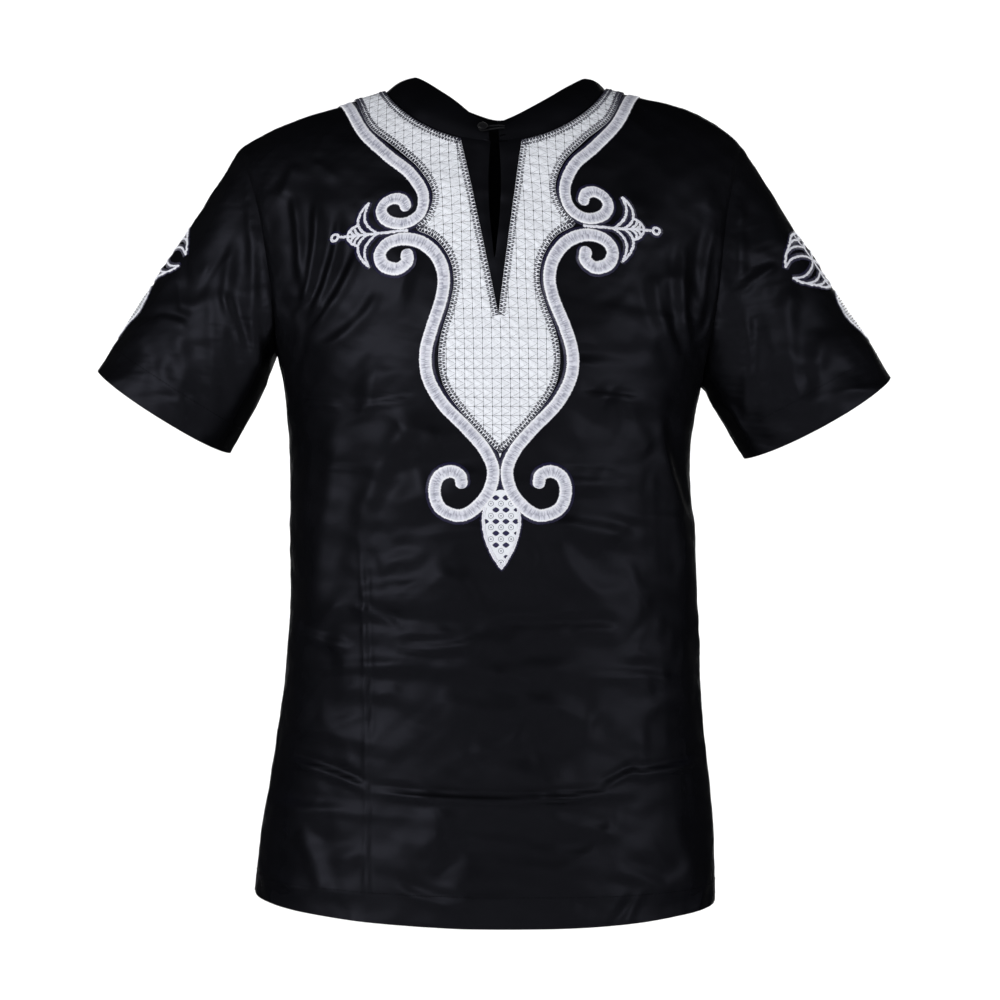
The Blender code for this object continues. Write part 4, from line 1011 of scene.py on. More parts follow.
RIDGE_LIMIT, RIDGE_SHARE, RIDGE_VARIES = 0.25, 0.22, 0.07
STREAK_LEAST, STREAK_GAIN, STREAK_POWER, GRAIN_GAIN = 0.2, 1.6, 1.5, 0.5
VALLEY_SHADE_GAIN, VALLEY_SHADE_MOST = 1.35, 0.8
GROOVE_SHADE = 0.88


def satin_height(rows, look, girth, rise):
    """How far each point of a stroke stands off the cloth."""
    profile = HUMP * look.height
    profile = profile * np.where(np.abs(ACROSS) < 0.5, 1 - look.valley + look.valley * HUMP, 1)
    ridge = np.where(rows % 2 == 0, 0.5, -0.5) * min(RIDGE_LIMIT, look.pitch * RIDGE_SHARE)
    relief = (ridge[:, None] + RIDGE_VARIES * rise) * (1 - OUTER_EDGE * 0.6)
    return profile * np.sqrt(girth)[:, None] + PADDING + relief


def satin_colours(rows, look, streak, grain):
    """The tones of a stroke: painted shade in its valley and grooves, a painted highlight at its edges."""
    tone = STREAK_LEAST + STREAK_GAIN * streak**STREAK_POWER + GRAIN_GAIN * grain
    share = np.clip(VALLEY_SHADE_ACROSS * tone * look.valley * VALLEY_SHADE_GAIN, 0, VALLEY_SHADE_MOST)[..., None]
    colours = WHITE_THREAD * (1 - share) + VALLEY_SHADE_GREY * share
    colours = colours * (1 - EDGE_HIGHLIGHT) + EDGE_HIGHLIGHT_WHITE * EDGE_HIGHLIGHT
    return colours * np.where(rows % 2 == 0, 1.0, GROOVE_SHADE)[:, None, None]


# %% Satin strokes
def satin(line, look, ground, seed, round_start=False, round_end=False, lift=0.0):
    """A satin-stitched stroke along a flat line: (points, faces, colours)."""
    chance = np.random.default_rng(seed)
    line = evenly(line, 0.5)
    if round_start:
        line = np.vstack([line[:1] + unit(line[0] - line[1]) * look.half, line])
    if round_end:
        line = np.vstack([line, line[-1:] + unit(line[-1] - line[-2]) * look.half])
    line = evenly(line, look.pitch / 2, 5)
    count = len(line)
    rows = np.arange(count)
    run = rows * np.linalg.norm(line[1] - line[0])
    girth = np.ones(count)
    for wanted, left in ((round_start, run), (round_end, run[-1] - run)):
        if wanted:
            near = np.clip(1 - left / look.half, 0, 1)
            girth *= np.sqrt(np.maximum(1 - near**2, 0.0004))
    thread = rows // 2
    jitter = chance.uniform(-1, 1, (2, thread[-1] + 1))
    grain = chance.uniform(0, 1, (thread[-1] + 1, len(ACROSS)))[thread]
    streak = chance.uniform(0, 1, (2, thread[-1] + 1))
    rise = chance.uniform(-1, 1, (2, thread[-1] + 1))
    jitter, streak, rise = (drawn[RIGHT_COLUMN][:, thread].T for drawn in (jitter, streak, rise))
    reach = girth[:, None] * (look.half + look.ragged * jitter * OUTER_EDGE)
    flat = line[:, None] + sideways(line)[:, None] * (ACROSS * reach)[..., None]
    tall = satin_height(rows, look, girth, rise) + lift
    base = ground.lay(flat.reshape(-1, 2)).reshape(count, len(ACROSS), 3)
    normals = np.cross(np.gradient(base, axis=0), np.gradient(base, axis=1))
    normals = unit(normals * np.sign(normals @ np.array(ground.facing))[..., None])
    normals = unit(normals + np.roll(normals, 2, axis=0) * 0.3 + np.roll(normals, -2, axis=0) * 0.3)
    top = base + normals * tall[..., None]
    return closed_strip(top, base - normals * 0.1, satin_colours(rows, look, streak, grain), look, normals)


# %% Close a stroke into a solid strip
SKIRT_NEAR, SKIRT_NEAR_HEIGHT, SKIRT_FAR_HEIGHT = 0.3, 0.35, 0.22
FLOOR_BELOW = 0.3


def closed_strip(top, bottom, colours, look, normals):
    """Points, faces and colours of a strip with a lid, a floor, sides and ends."""
    count, wide = top.shape[:2]
    points = [top.reshape(-1, 3)]
    paint = [colours.reshape(-1, 3)]
    index = np.arange(count * wide).reshape(count, wide)
    if look.under:
        skirt = []
        for edge, reach in zip((0, -1), look.under):
            out = unit(bottom[:, edge] - bottom[:, edge - 1 if edge else 1])
            skirt.append(bottom[:, edge] + normals[:, edge] * SKIRT_NEAR_HEIGHT + out * SKIRT_NEAR)
            skirt.append(bottom[:, edge] + normals[:, edge] * SKIRT_FAR_HEIGHT + out * reach)
        low = np.stack([skirt[1], skirt[0], skirt[2], skirt[3]], axis=1)
    else:
        low = np.stack([bottom[:, 0], bottom[:, -1]], axis=1)
    floor = low[:, [0, -1]] - normals[:, [0, -1]] * FLOOR_BELOW
    points += [low.reshape(-1, 3), floor.reshape(-1, 3)]
    paint += [np.tile(NAVY_THREAD, (low.shape[0] * low.shape[1] + 2 * count, 1))]
    half = low.shape[1] // 2
    low_index = np.arange(count * low.shape[1]).reshape(count, -1) + index.size
    floor_index = np.arange(count * 2).reshape(count, 2) + index.size + low_index.size
    loop = np.hstack([low_index[:, :half], index, low_index[:, half:], floor_index[:, ::-1]])
    after = np.roll(loop, -1, axis=1)
    sides = np.stack([loop[:-1], after[:-1], after[1:], loop[1:]], axis=-1).reshape(-1, 4)
    faces = sides.tolist() + [loop[0][::-1].tolist(), loop[-1].tolist()]
    return np.concatenate(points), faces, np.concatenate(paint)


# %% Threads laid one by one
THREAD_ALONG = np.array([0, 0.2, 0.8, 1])
THREAD_GIRTH = np.array([0.3, 1, 1, 0.3])
THREAD_ARCH = np.array([0, 1, 1, 0])


def threads(starts, ends, facing, radius, arch, sides, colour, lift=0.0):
    """Closed little threads from starts to ends that arch off the cloth."""
    starts, ends, facing = (np.asarray(part, float) for part in (starts, ends, facing))
    height = THREAD_ARCH * arch + lift
    run = ends - starts
    across = unit(np.cross(facing, run))
    up = unit(np.cross(run, across))
    centre = starts[:, None] + run[:, None] * THREAD_ALONG[:, None] + facing[:, None] * height[:, None]
    angle = 2 * math.pi * np.arange(sides) / sides
    ring = across[:, None, None] * np.cos(angle)[:, None] + up[:, None, None] * np.sin(angle)[:, None]
    points = centre[:, :, None] + ring * radius * THREAD_GIRTH[:, None, None]
    index = np.arange(points.shape[0] * 4 * sides).reshape(-1, 4, sides)
    after = np.roll(index, -1, axis=2)
    walls = np.stack([index[:, :-1], after[:, :-1], after[:, 1:], index[:, 1:]], axis=-1)
    caps = index[:, 0, ::-1].tolist() + index[:, -1].tolist()
    colours = np.broadcast_to(np.asarray(colour, float).reshape(-1, 1, 3), (len(starts), 4 * sides, 3))
    return points.reshape(-1, 3), walls.reshape(-1, 4).tolist() + caps, colours.reshape(-1, 3)


# %% Make one piece of many strokes and threads
def joined(parts):
    """Several (points, faces, colours) as one."""
    points, faces, colours, first = [], [], [], 0
    for some_points, some_faces, some_colours in parts:
        points.append(some_points)
        colours.append(some_colours)
        faces += [[v + first for v in face] for face in some_faces]
        first += len(some_points)
    return np.concatenate(points), faces, np.concatenate(colours)


def make_piece(name, parts, material):
    """A piece from (points, faces, colours), with the colours as its thread attribute."""
    points, faces, colours = joined(parts)
    mesh = bpy.data.meshes.new(name)
    mesh.from_pydata((points * MM).tolist(), [], faces)
    paint = mesh.color_attributes.new("thread", "FLOAT_COLOR", "POINT")
    paint.data.foreach_set("color", np.hstack([colours, np.ones((len(colours), 1))]).ravel())
    shape = bmesh.new()
    shape.from_mesh(mesh)
    bmesh.ops.recalc_face_normals(shape, faces=shape.faces)
    shape.to_mesh(mesh)
    shape.free()
    mesh.polygons.foreach_set("use_smooth", [True] * len(mesh.polygons))
    mesh.materials.append(material)
    print(f"{name}: {len(points)} points, {len(faces)} faces")
    return add_object(name, mesh)


# %% [markdown]
# ## Embroidery thread
# The thread is white viscose with a silky shine along each strand. One plain white would
# look like plastic, so its tones come from the strokes' colour attribute, and a fine bump
# gives the twist inside a strand. The lattice's thread is duller than the satin's.

# %% Mix the thread
TWIST_SCALE, TWIST_STRENGTH, TWIST_HEIGHT = 900.0, 0.4, 0.00012
SHADE_LEAST, SHADE_MOST = 0.92, 1.06


def make_thread(name, roughness, shine):
    """White thread: the strokes' tones, with their painted shade and highlight, slightly shaded by the
    twist.
    """
    material, tree, shader = new_finish(name)
    tones = tree.nodes.new("ShaderNodeAttribute")
    tones.attribute_name = "thread"
    twist = noise(tree, Scale=TWIST_SCALE, Detail=3.0, Roughness=0.7)
    shaded = tree.nodes.new("ShaderNodeVectorMath")
    shaded.operation = "SCALE"
    tree.links.new(tones.outputs["Color"], shaded.inputs[0])
    tree.links.new(remap(tree, twist, SHADE_LEAST, SHADE_MOST, 0.3, 0.7), shaded.inputs["Scale"])
    tree.links.new(shaded.outputs["Vector"], shader.inputs["Base Color"])
    shader.inputs["Roughness"].default_value = roughness
    shader.inputs["Specular IOR Level"].default_value = shine
    tree.links.new(raised(tree, twist, TWIST_STRENGTH, TWIST_HEIGHT), shader.inputs["Normal"])
    return material


satin_thread = make_thread("white_satin_thread", 0.42, 0.4)
lattice_thread = make_thread("white_lattice_thread", 0.6, 0.25)
print("mixed", satin_thread.name, "and", lattice_thread.name)

# %% [markdown]
# ## The scrolls
# Each side of the neck has two satin scrolls. The upper one starts at the shoulder seam
# and curls outwards. The lower one starts in a curl, follows the yoke down to its point
# and ends in a large volute. A spiral formula would give too regular a curl, so a few
# points are listed and joined by a smooth line.

# %% Draw the scrolls
Stitch = namedtuple("Stitch", "across down")
UPPER_SCROLL = (
    Stitch(130.5, 1.8),
    Stitch(123.5, 30),
    Stitch(109.5, 70),
    Stitch(89, 100),
    Stitch(69, 123),
    Stitch(60, 144),
    Stitch(64, 159),
    Stitch(78, 165),
    Stitch(92, 159.5),
    Stitch(96.5, 150.5),
    Stitch(93, 144),
    Stitch(84.5, 141.5),
    Stitch(77.5, 145),
    Stitch(75.5, 150),
)
LOWER_SCROLL = (
    Stitch(75.5, 192.5),
    Stitch(75, 198),
    Stitch(83, 203.5),
    Stitch(95, 199),
    Stitch(98.5, 189),
    Stitch(93, 181),
    Stitch(79, 178.2),
    Stitch(61, 185),
    Stitch(48.5, 199.5),
    Stitch(44.5, 214),
    Stitch(46.5, 229),
    Stitch(56, 253.5),
    Stitch(61.5, 272),
    Stitch(60.5, 290),
    Stitch(48.5, 313),
    Stitch(27.5, 335),
    Stitch(12.5, 353),
    Stitch(5.7, 371),
    Stitch(12, 391.5),
    Stitch(32, 407.5),
    Stitch(50, 401.5),
    Stitch(55.2, 387),
    Stitch(51.5, 375),
    Stitch(42, 370.5),
    Stitch(34, 374),
    Stitch(32.5, 380),
)
UPPER_SATIN = Satin(4.6, 0.75, 0.5, 0.75, 0.22, (0.7, 2.4))
LOWER_SATIN = Satin(5.1, 0.8, 0.5, 0.75, 0.22, (0.7, 2.6))

# %% Embroider the scrolls
SIDES = ((-1, "left"), (1, "right"))
SCROLL_SEED = 35
SCROLLS = (("upper", UPPER_SCROLL, UPPER_SATIN, False), ("lower", LOWER_SCROLL, LOWER_SATIN, True))

for side, name in SIDES:
    for part, stitches, look, round_start in SCROLLS:
        line = smooth_curve(on_front(side, stitches))
        look = look._replace(under=look.under[::side])
        stroke = satin(line, look, FRONT, SCROLL_SEED + side, round_start, True)
        scroll = make_piece(f"scroll_{part}_{name}_satin", [stroke], satin_thread)
        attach(scroll, "root")
        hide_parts(f"scroll_{part}_{name}")

# %% [markdown]
# ## The palmettes
# A palmette is a small fan of ribs on one spine, with a ring at its tip. Its ribs are
# narrow satin, only about two millimetres wide, so each thread shows as a tooth along
# the edge. One rib could be copied round, but the ribs differ in their bends, so each has
# a row of its own, and only the two halves of the fan are mirrored.

# %% Draw a palmette
Rib = namedtuple("Rib", "along out")
PALMETTE_RIBS = (
    (Rib(0, 0), Rib(6.5, 5), Rib(10.5, 11), Rib(11.3, 17), Rib(10, 22.3), Rib(8, 27.5)),
    (Rib(9.5, 0), Rib(14.5, 4.5), Rib(17, 9.5), Rib(16.3, 16.3), Rib(12.8, 22.6), Rib(8, 27.5)),
    (Rib(17, 9.5), Rib(22.5, 6.5), Rib(25.5, 3), Rib(26.5, 0)),
    (Rib(15, 0), Rib(19.3, 4), Rib(20.3, 8)),
    (Rib(19.5, 0), Rib(22, 2.2), Rib(23.5, 5.5)),
)
PALMETTE_BASE = Stitch(100, 169.8)
PALMETTE_RING = Stitch(137, 166)
PALMETTE_STEM = Stitch(74, 171.5)
PALMETTE_SLANT = 0.11
RING_RADIUS, RING_HOLE = 3.9, 2.0
RIB_SATIN = Satin(0.92, 0.6, 0.15, 1.25, 0.36, (2.2, 2.2))
SPINE_LIFT, RIB_LIFT, RIB_LIFTS = 0.12, 0.03, 5
LONG_RIB = 4


def palmette_lines(ribs, base, tip_way, out_way):
    """The flat lines of the ribs on both sides of a spine that starts at base."""
    return [
        [base + tip_way * r.along + out_way * mirror * r.out for r in rib]
        for mirror in (-1, 1)
        for rib in ribs
    ]


def rib_stroke(line, look, ground, seed, order):
    """A rib in satin. Only a long rib ends round, and ribs that cross differ in height."""
    lift = RIB_LIFT * (order % RIB_LIFTS)
    return satin(smooth_curve(line), look, ground, seed, False, len(line) > LONG_RIB, lift)


# %% Embroider the palmettes
for side, name in SIDES:
    stem, base, ring = on_front(side, [PALMETTE_STEM, PALMETTE_BASE, PALMETTE_RING])
    tip_way = unit(ring - base)
    out_way = np.array([-tip_way[1], tip_way[0]]) - side * PALMETTE_SLANT * tip_way
    spine = np.vstack([stem, base, ring - tip_way * RING_RADIUS])
    strokes = [satin(spine, RIB_SATIN, FRONT, 5, lift=SPINE_LIFT)]
    for k, line in enumerate(palmette_lines(PALMETTE_RIBS, base, tip_way, out_way)):
        strokes.append(rib_stroke(line, RIB_SATIN, FRONT, k, k))
    around = np.linspace(0, 2 * math.pi, 40)
    hoop = ring + (RING_RADIUS + RING_HOLE) / 2 * np.stack([np.cos(around), np.sin(around)], axis=-1)
    strokes.append(satin(hoop, RIB_SATIN, FRONT, 9))
    palmette = make_piece(f"palmette_{name}_satin", strokes, satin_thread)
    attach(palmette, "root")
    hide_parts(f"palmette_{name}")

# %% [markdown]
# ## The yoke
# The field round the neck is filled with flat white thread and held down by a grid of
# thin grey thread: upright lines, level lines, and a wedge in every square. Each grey
# stitch dips into a needle hole at its ends, so the field is softly quilted. Two rows of
# black ticks run all round its edge. A painted pattern would do from afar, but it would
# lie flat. Here the field is a plate whose height follows the pattern, with the stitches
# laid on it.

# %% The outline of the yoke
YOKE_SHOULDER_TO_NOTCH = (
    Stitch(118.5, 1.8),
    Stitch(113.5, 30),
    Stitch(102, 66),
    Stitch(79, 95),
    Stitch(58.5, 121),
    Stitch(50, 144),
    Stitch(55.5, 161),
    Stitch(66, 170.6),
)
YOKE_NOTCH_TO_POINT = (
    Stitch(66, 170.6),
    Stitch(49.5, 181),
    Stitch(37.5, 199),
    Stitch(34, 218),
    Stitch(38.5, 237),
    Stitch(46.5, 259.5),
    Stitch(49, 280),
    Stitch(44.5, 300),
    Stitch(31, 321),
    Stitch(13, 342.5),
    Stitch(0, 356),
)
V_TOP_HALF, V_TOP, V_POINT = 26.0, 98.0, 245.0
EDGE_WIDTH, EDGE_TAPER = 2.0, 80.0
OVER_SHOULDER = 1.8
NECKLINE_HALF, NECKLINE_FRONT, NECKLINE_DIP, NECKLINE_CENTRE = 97, -70, 1.4, -4
EDGE_STEP = 2

# %% Run round the yoke
Runs = namedtuple("Runs", "neck outer margin")


def neckline_run(side):
    """The yoke's edge along the neckline seam, from the shoulder to the slit's margin."""
    angle = np.linspace(0, math.pi / 2, 120)
    x = NECKLINE_CENTRE + side * NECKLINE_HALF * np.cos(angle)
    top = shoulder_line(np.array(NECKLINE_CENTRE + side * NECKLINE_HALF))
    z = top + (NECKLINE_FRONT - top) * np.sin(angle) ** NECKLINE_DIP
    flat = np.stack([x, distance_at(x, z)], axis=-1)
    flat = flat - side * sideways(flat) * EDGE_WIDTH * 0.8
    margin = read(LEAN, "centre", V_TOP) + side * V_TOP_HALF
    flat = flat[(side * (flat[:, 0] - margin) > 0) & (flat[:, 1] > OVER_SHOULDER)]
    start = [flat[0][0] + side * 0.4, OVER_SHOULDER]
    return np.vstack([start, flat[4::3], [margin, flat[-1][1] + 0.5]])


def yoke_runs(side):
    """The neckline, outer and margin edges of one side, each from the shoulder down."""
    neck = neckline_run(side)
    upper = evenly(smooth_curve(on_front(side, YOKE_SHOULDER_TO_NOTCH)), EDGE_STEP)
    lower = evenly(smooth_curve(on_front(side, YOKE_NOTCH_TO_POINT)), EDGE_STEP)
    upper = upper - side * sideways(upper) * EDGE_WIDTH
    taper = smooth_step((YOKE_NOTCH_TO_POINT[-1].down - lower[:, 1]) / EDGE_TAPER)
    lower = lower - side * sideways(lower) * EDGE_WIDTH * taper[:, None]
    notch = (upper[-1] + lower[0]) / 2
    upper[0, 1] = OVER_SHOULDER
    point = [0.0, YOKE_NOTCH_TO_POINT[-1].down + EDGE_WIDTH * 1.6]
    margin = evenly(np.array([neck[-1], [read(LEAN, "centre", V_POINT), V_POINT]]), EDGE_STEP)
    return Runs(neck, np.vstack([upper[:-1], [notch], lower[1:-1], [point]]), margin)


left, right = yoke_runs(-1), yoke_runs(1)
yoke_left_edge = [left.margin[::-1], left.neck[-2::-1], left.outer]
yoke_right_edge = [right.outer[-2::-1], right.neck, right.margin[1:-1]]
yoke_edge = np.vstack(yoke_left_edge + yoke_right_edge)
print(len(yoke_edge), "points round the yoke")

# %% Inside an outline, and how far from it
def is_inside(points, outline):
    """Whether each flat point lies inside the outline."""
    x, y = points.T
    x0, y0 = outline.T
    x1, y1 = np.roll(outline, -1, axis=0).T
    inside = np.zeros(len(points), bool)
    for a, b, c, d in zip(x0, y0, x1, y1):
        crosses = (b > y) != (d > y)
        if crosses.any():
            inside ^= crosses & (x < (c - a) * (y - b) / (d - b) + a)
    return inside


def edge_distance(points, outline):
    """How far each flat point is from the outline."""
    best = np.full(len(points), np.inf)
    for a, b in zip(outline, np.roll(outline, -1, axis=0)):
        run = b - a
        share = np.clip((points - a) @ run / max(run @ run, 1e-9), 0, 1)
        best = np.minimum(best, np.linalg.norm(points - a - share[:, None] * run, axis=1))
    return best


# %% Fill an outline
EDGE_CLEAR, HOLE_CLEAR = 0.5, 0.25


def wound_left(outline):
    """The outline, turned round if it runs clockwise."""
    x, y = outline.T
    area = np.sum(x * np.roll(y, -1) - y * np.roll(x, -1))
    return outline if area > 0 else outline[::-1]


def filled(outline, holes, spots):
    """(points, triangles) of the area in the outline and outside the holes."""
    outlines = [wound_left(part) for part in [outline] + holes]
    keep = is_inside(spots, outline) & (edge_distance(spots, outline) > EDGE_CLEAR)
    for hole in holes:
        keep &= ~is_inside(spots, hole) & (edge_distance(spots, hole) > HOLE_CLEAR)
    counts = np.cumsum([0] + [len(part) for part in outlines])
    loops = [list(range(a, b)) for a, b in zip(counts, counts[1:])]
    flat = np.vstack(outlines + [spots[keep]])
    made, _, triangles, _, _, origin = delaunay_2d_cdt([Vector(p) for p in flat], [], loops, 0, 1e-4, True)
    chosen = [t for t, inside in zip(triangles, origin) if 0 in inside and not any(i > 0 for i in inside)]
    used = sorted({v for t in chosen for v in t})
    place = {v: k for k, v in enumerate(used)}
    return np.array([tuple(made[v]) for v in used]), np.array([[place[v] for v in t] for t in chosen])


def surface_normals(points, triangles, facing):
    """Smooth normals of a triangle mesh, turned to the side that facing points to."""
    corners = points[triangles]
    face = np.cross(corners[:, 1] - corners[:, 0], corners[:, 2] - corners[:, 0])
    face *= np.sign(face @ np.array(facing))[:, None]
    normals = np.zeros_like(points)
    for k in range(3):
        np.add.at(normals, triangles[:, k], face)
    return unit(normals)


# %% Raise a plate
PLATE_SIDE_SHADE = 0.3


def plate(base, triangles, normals, height, colour):
    """A closed plate over base with the given height, as (points, faces, colours)."""
    count = len(base)
    top = base + normals * np.broadcast_to(height, count)[:, None]
    floor = base - normals * FLOOR_BELOW
    colours = np.broadcast_to(colour, (count, 3))
    sides = np.concatenate([triangles[:, [0, 1]], triangles[:, [1, 2]], triangles[:, [2, 0]]])
    both = {tuple(pair) for pair in sides.tolist()}
    rim = [(a, b) for a, b in sides.tolist() if (b, a) not in both]
    faces = triangles.tolist() + (triangles[:, ::-1] + count).tolist()
    faces += [[b, a, a + count, b + count] for a, b in rim]
    return np.vstack([top, floor]), faces, np.vstack([colours, colours * PLATE_SIDE_SHADE])


# %% The lattice's places
CELL = 7.63
CELL_START = Stitch(1.5, 3.4)
COLUMNS, ROWS = (-17, 18), (-1, 48)
GRID_STEPS = 6
LEAN_FULL_AT = 60


def lean_share(across):
    """How much of the middle line's lean a place this far from it takes part in."""
    return np.clip(across / LEAN_FULL_AT, -1, 1)


def lattice_place(columns, rows):
    """Flat places of the lattice's crossings, which follow the leaning middle line."""
    across = CELL_START.across + CELL * np.asarray(columns, float)
    down = CELL_START.down + CELL * np.asarray(rows, float)
    lean = read(LEAN, "raise_right", down) * lean_share(across)
    return np.stack([read(LEAN, "centre", down) + across, down - lean], axis=-1)


def lattice_cell(flat):
    """The column and row, with fractions, of flat places: the reverse of lattice_place."""
    across = flat[:, 0] - read(LEAN, "centre", flat[:, 1]) - CELL_START.across
    column = across / CELL
    shift = read(LEAN, "raise_right", flat[:, 1]) * lean_share(column * CELL + CELL_START.across)
    return column, (flat[:, 1] - CELL_START.down) / CELL + shift / CELL


def to_line(column, row):
    """Distance to the nearest line of the lattice, in cells."""
    u, v = column % 1, row % 1
    level = np.minimum(v, 1 - v)
    upright = np.minimum(u, 1 - u)
    wedge = np.abs(np.abs(v - 0.5) * 2 - (1 - u)) / math.sqrt(5)
    return np.minimum(np.minimum(level, upright), wedge)


def lattice_grid(step):
    """All the columns and rows of the lattice, a step apart."""
    grid = np.meshgrid(np.arange(*COLUMNS, step), np.arange(*ROWS, step))
    return (part.ravel().astype(float) for part in grid)


# %% Quilt the field
FIELD_WHITE = np.array([0.91, 0.935, 1.0])
FIELD_HEIGHT, PILLOW_HEIGHT, RIM_HEIGHT = 0.62, 0.3, 0.35
PILLOW_EDGE, PILLOW_STARTS, PILLOW_BLEND, RIM_BLEND = 0.9, 4, 3, 1.5
STRAND_SHADE, STRAND_TURN, STRAND_SLANT = 0.06, 9.1, 0.7

spots = lattice_place(*lattice_grid(1 / GRID_STEPS))
yoke_flat, yoke_triangles = filled(yoke_edge, [], spots)
yoke_base = FRONT.lay(yoke_flat)
yoke_normals = surface_normals(yoke_base, yoke_triangles, FRONT.facing)
pillow = 1 - np.exp(-((to_line(*lattice_cell(yoke_flat)) * CELL / PILLOW_EDGE) ** 2))
in_from_edge = edge_distance(yoke_flat, yoke_edge)
height = FIELD_HEIGHT + RIM_HEIGHT * smooth_step(in_from_edge / RIM_BLEND)
height += PILLOW_HEIGHT * pillow * smooth_step((in_from_edge - PILLOW_STARTS) / PILLOW_BLEND)
strands = 1 - STRAND_SHADE * (1 - np.sin(yoke_flat[:, 1] * STRAND_TURN + yoke_flat[:, 0] * STRAND_SLANT))
field_parts = [plate(yoke_base, yoke_triangles, yoke_normals, height, FIELD_WHITE * strands[:, None])]
print("quilted field:", len(yoke_triangles), "triangles")

# %% Lay stitches inside an edge
LEAST_STITCH = 0.2


def stitch_line(flat_starts, flat_ends, edge, room):
    """The stitches cut back to what lies in the edge, with room to spare."""
    shares = np.linspace(0, 1, 9)
    keep = np.zeros((len(flat_starts), len(shares)), bool)
    for k, share in enumerate(shares):
        spots = flat_starts + (flat_ends - flat_starts) * share
        near = is_inside(spots, edge)
        near[near] = edge_distance(spots[near], edge) > room
        keep[:, k] = near
    first = shares[keep.argmax(axis=1)][:, None]
    last = shares[len(shares) - 1 - keep[:, ::-1].argmax(axis=1)][:, None]
    run = flat_ends - flat_starts
    long_enough = keep.any(axis=1) & ((last - first)[:, 0] > LEAST_STITCH)
    return (flat_starts + run * first)[long_enough], (flat_starts + run * last)[long_enough]


def lay_threads(flat_starts, flat_ends, ground, radius, arch, colour, lift):
    """Square threads on the cloth, each one standing up along the cloth's own normal."""
    starts, ends = ground.lay(flat_starts), ground.lay(flat_ends)
    run = flat_ends - flat_starts
    beside = (flat_starts + flat_ends) / 2 + np.stack([-run[:, 1], run[:, 0]], axis=-1) * 0.3
    normals = np.cross(ends - starts, ground.lay(beside) - (starts + ends) / 2)
    normals = unit(normals * np.sign(normals @ np.array(ground.facing))[:, None])
    return threads(starts, ends, normals, radius, arch, 4, colour, lift)


# %% Couch the lattice
# A line goes from one corner of a cell to another: columns and rows from the cell's own.
# A knot is the end of several stitches in one needle hole: its thread is painted darker than the lines'
# thread, as the shade in the hole.
EDGE_ROOM = 3.4
LINE_GREY = np.array([0.055, 0.06, 0.09])
KNOT_SHADED_GREY = LINE_GREY * 0.4
LINE_ARCH, LINE_LIFT, KNOT_ARCH, KNOT_LIFT = 0.12, 0.98, 0.1, 1.02
Line = namedtuple("Line", "column0 row0 column1 row1 radius")
LINES = (
    Line(0, 0, 0, 0.5, 0.12),
    Line(0, 0.5, 0, 1, 0.12),
    Line(0, 0, 1, 0, 0.12),
    Line(0, 0, 1, 0.5, 0.09),
    Line(1, 0.5, 0, 1, 0.09),
)
Knot = namedtuple("Knot", "column row length radius")
KNOTS = (Knot(0, 0, 1.5, 0.34), Knot(1, 0.5, 0.8, 0.2))

column, row = lattice_grid(1)
for line in LINES:
    flat_starts = lattice_place(column + line.column0, row + line.row0)
    flat_ends = lattice_place(column + line.column1, row + line.row1)
    starts, ends = stitch_line(flat_starts, flat_ends, yoke_edge, EDGE_ROOM)
    look = (line.radius, LINE_ARCH, LINE_GREY, LINE_LIFT)
    field_parts.append(lay_threads(starts, ends, FRONT, *look))
for knot in KNOTS:
    places, half = lattice_place(column + knot.column, row + knot.row), [0, knot.length / 2]
    starts, ends = stitch_line(places - half, places + half, yoke_edge, EDGE_ROOM)
    look = (knot.radius, KNOT_ARCH, KNOT_SHADED_GREY, KNOT_LIFT)
    field_parts.append(lay_threads(starts, ends, FRONT, *look))
print(len(LINES), "kinds of line,", len(KNOTS), "kinds of knot")

# %% Tick the edges
Tick = namedtuple("Tick", "inset length radius pitch lean colour lift")
TICKS = (
    Tick(-0.2, 3.1, 0.5, 1.45, 0.13, (0.025, 0.025, 0.042), 0.8),
    Tick(3.0, 2.5, 0.38, 1.45, -0.15, (0.05, 0.05, 0.07), 1.0),
)
TICK_ARCH = 0.3
LENGTH_VARIES, SLANT_VARIES = 0.12, 0.1
PROBE_REACH = 1.5


def ticks(run, inwards, tick, seed):
    """Flat ends of short stitches that stand across an edge, one after another."""
    chance = np.random.default_rng(seed)
    line = evenly(run, tick.pitch)
    way = sideways(line) * inwards
    along = unit(np.gradient(line, axis=0))
    zigzag = np.where(np.arange(len(line)) % 2 == 0, 1, -1)
    slant = tick.lean * zigzag + chance.uniform(-SLANT_VARIES, SLANT_VARIES, len(line))
    length = tick.length * chance.uniform(1 - LENGTH_VARIES, 1 + LENGTH_VARIES, len(line))
    starts = line + way * tick.inset
    ends = starts + (way + along * slant[:, None]) * length[:, None]
    return starts, ends


def way_in(run, outline):
    """1 if the inside of the outline is to the left of the run, and -1 if not."""
    half_way = len(run) // 2
    probe = run[half_way] + sideways(run)[half_way] * PROBE_REACH
    return 1 if is_inside(probe[None], outline)[0] else -1


for runs in (left, right):
    for k, run in enumerate(runs):
        for n, tick in enumerate(TICKS):
            starts, ends = ticks(run, way_in(run, yoke_edge), tick, 10 * k + n)
            keep = is_inside(ends, yoke_edge)
            look = (tick.radius, TICK_ARCH, tick.colour, tick.lift)
            field_parts.append(lay_threads(starts[keep], ends[keep], FRONT, *look))
field = make_piece("yoke_lattice", field_parts, lattice_thread)
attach(field, "root")
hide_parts("yoke")

# %% [markdown]
# ## The leaf below the yoke
# The leaf is open work. Little wheels of white thread stand in rows, with a gap that
# shows dark blue thread between every four, inside a rim of satin. The gaps could be
# painted on, but they are real holes in a white plate, over a dark one, so their edges
# catch the light.

# %% Outlines for leaves and wheels
TIP_CURVE = 1.9


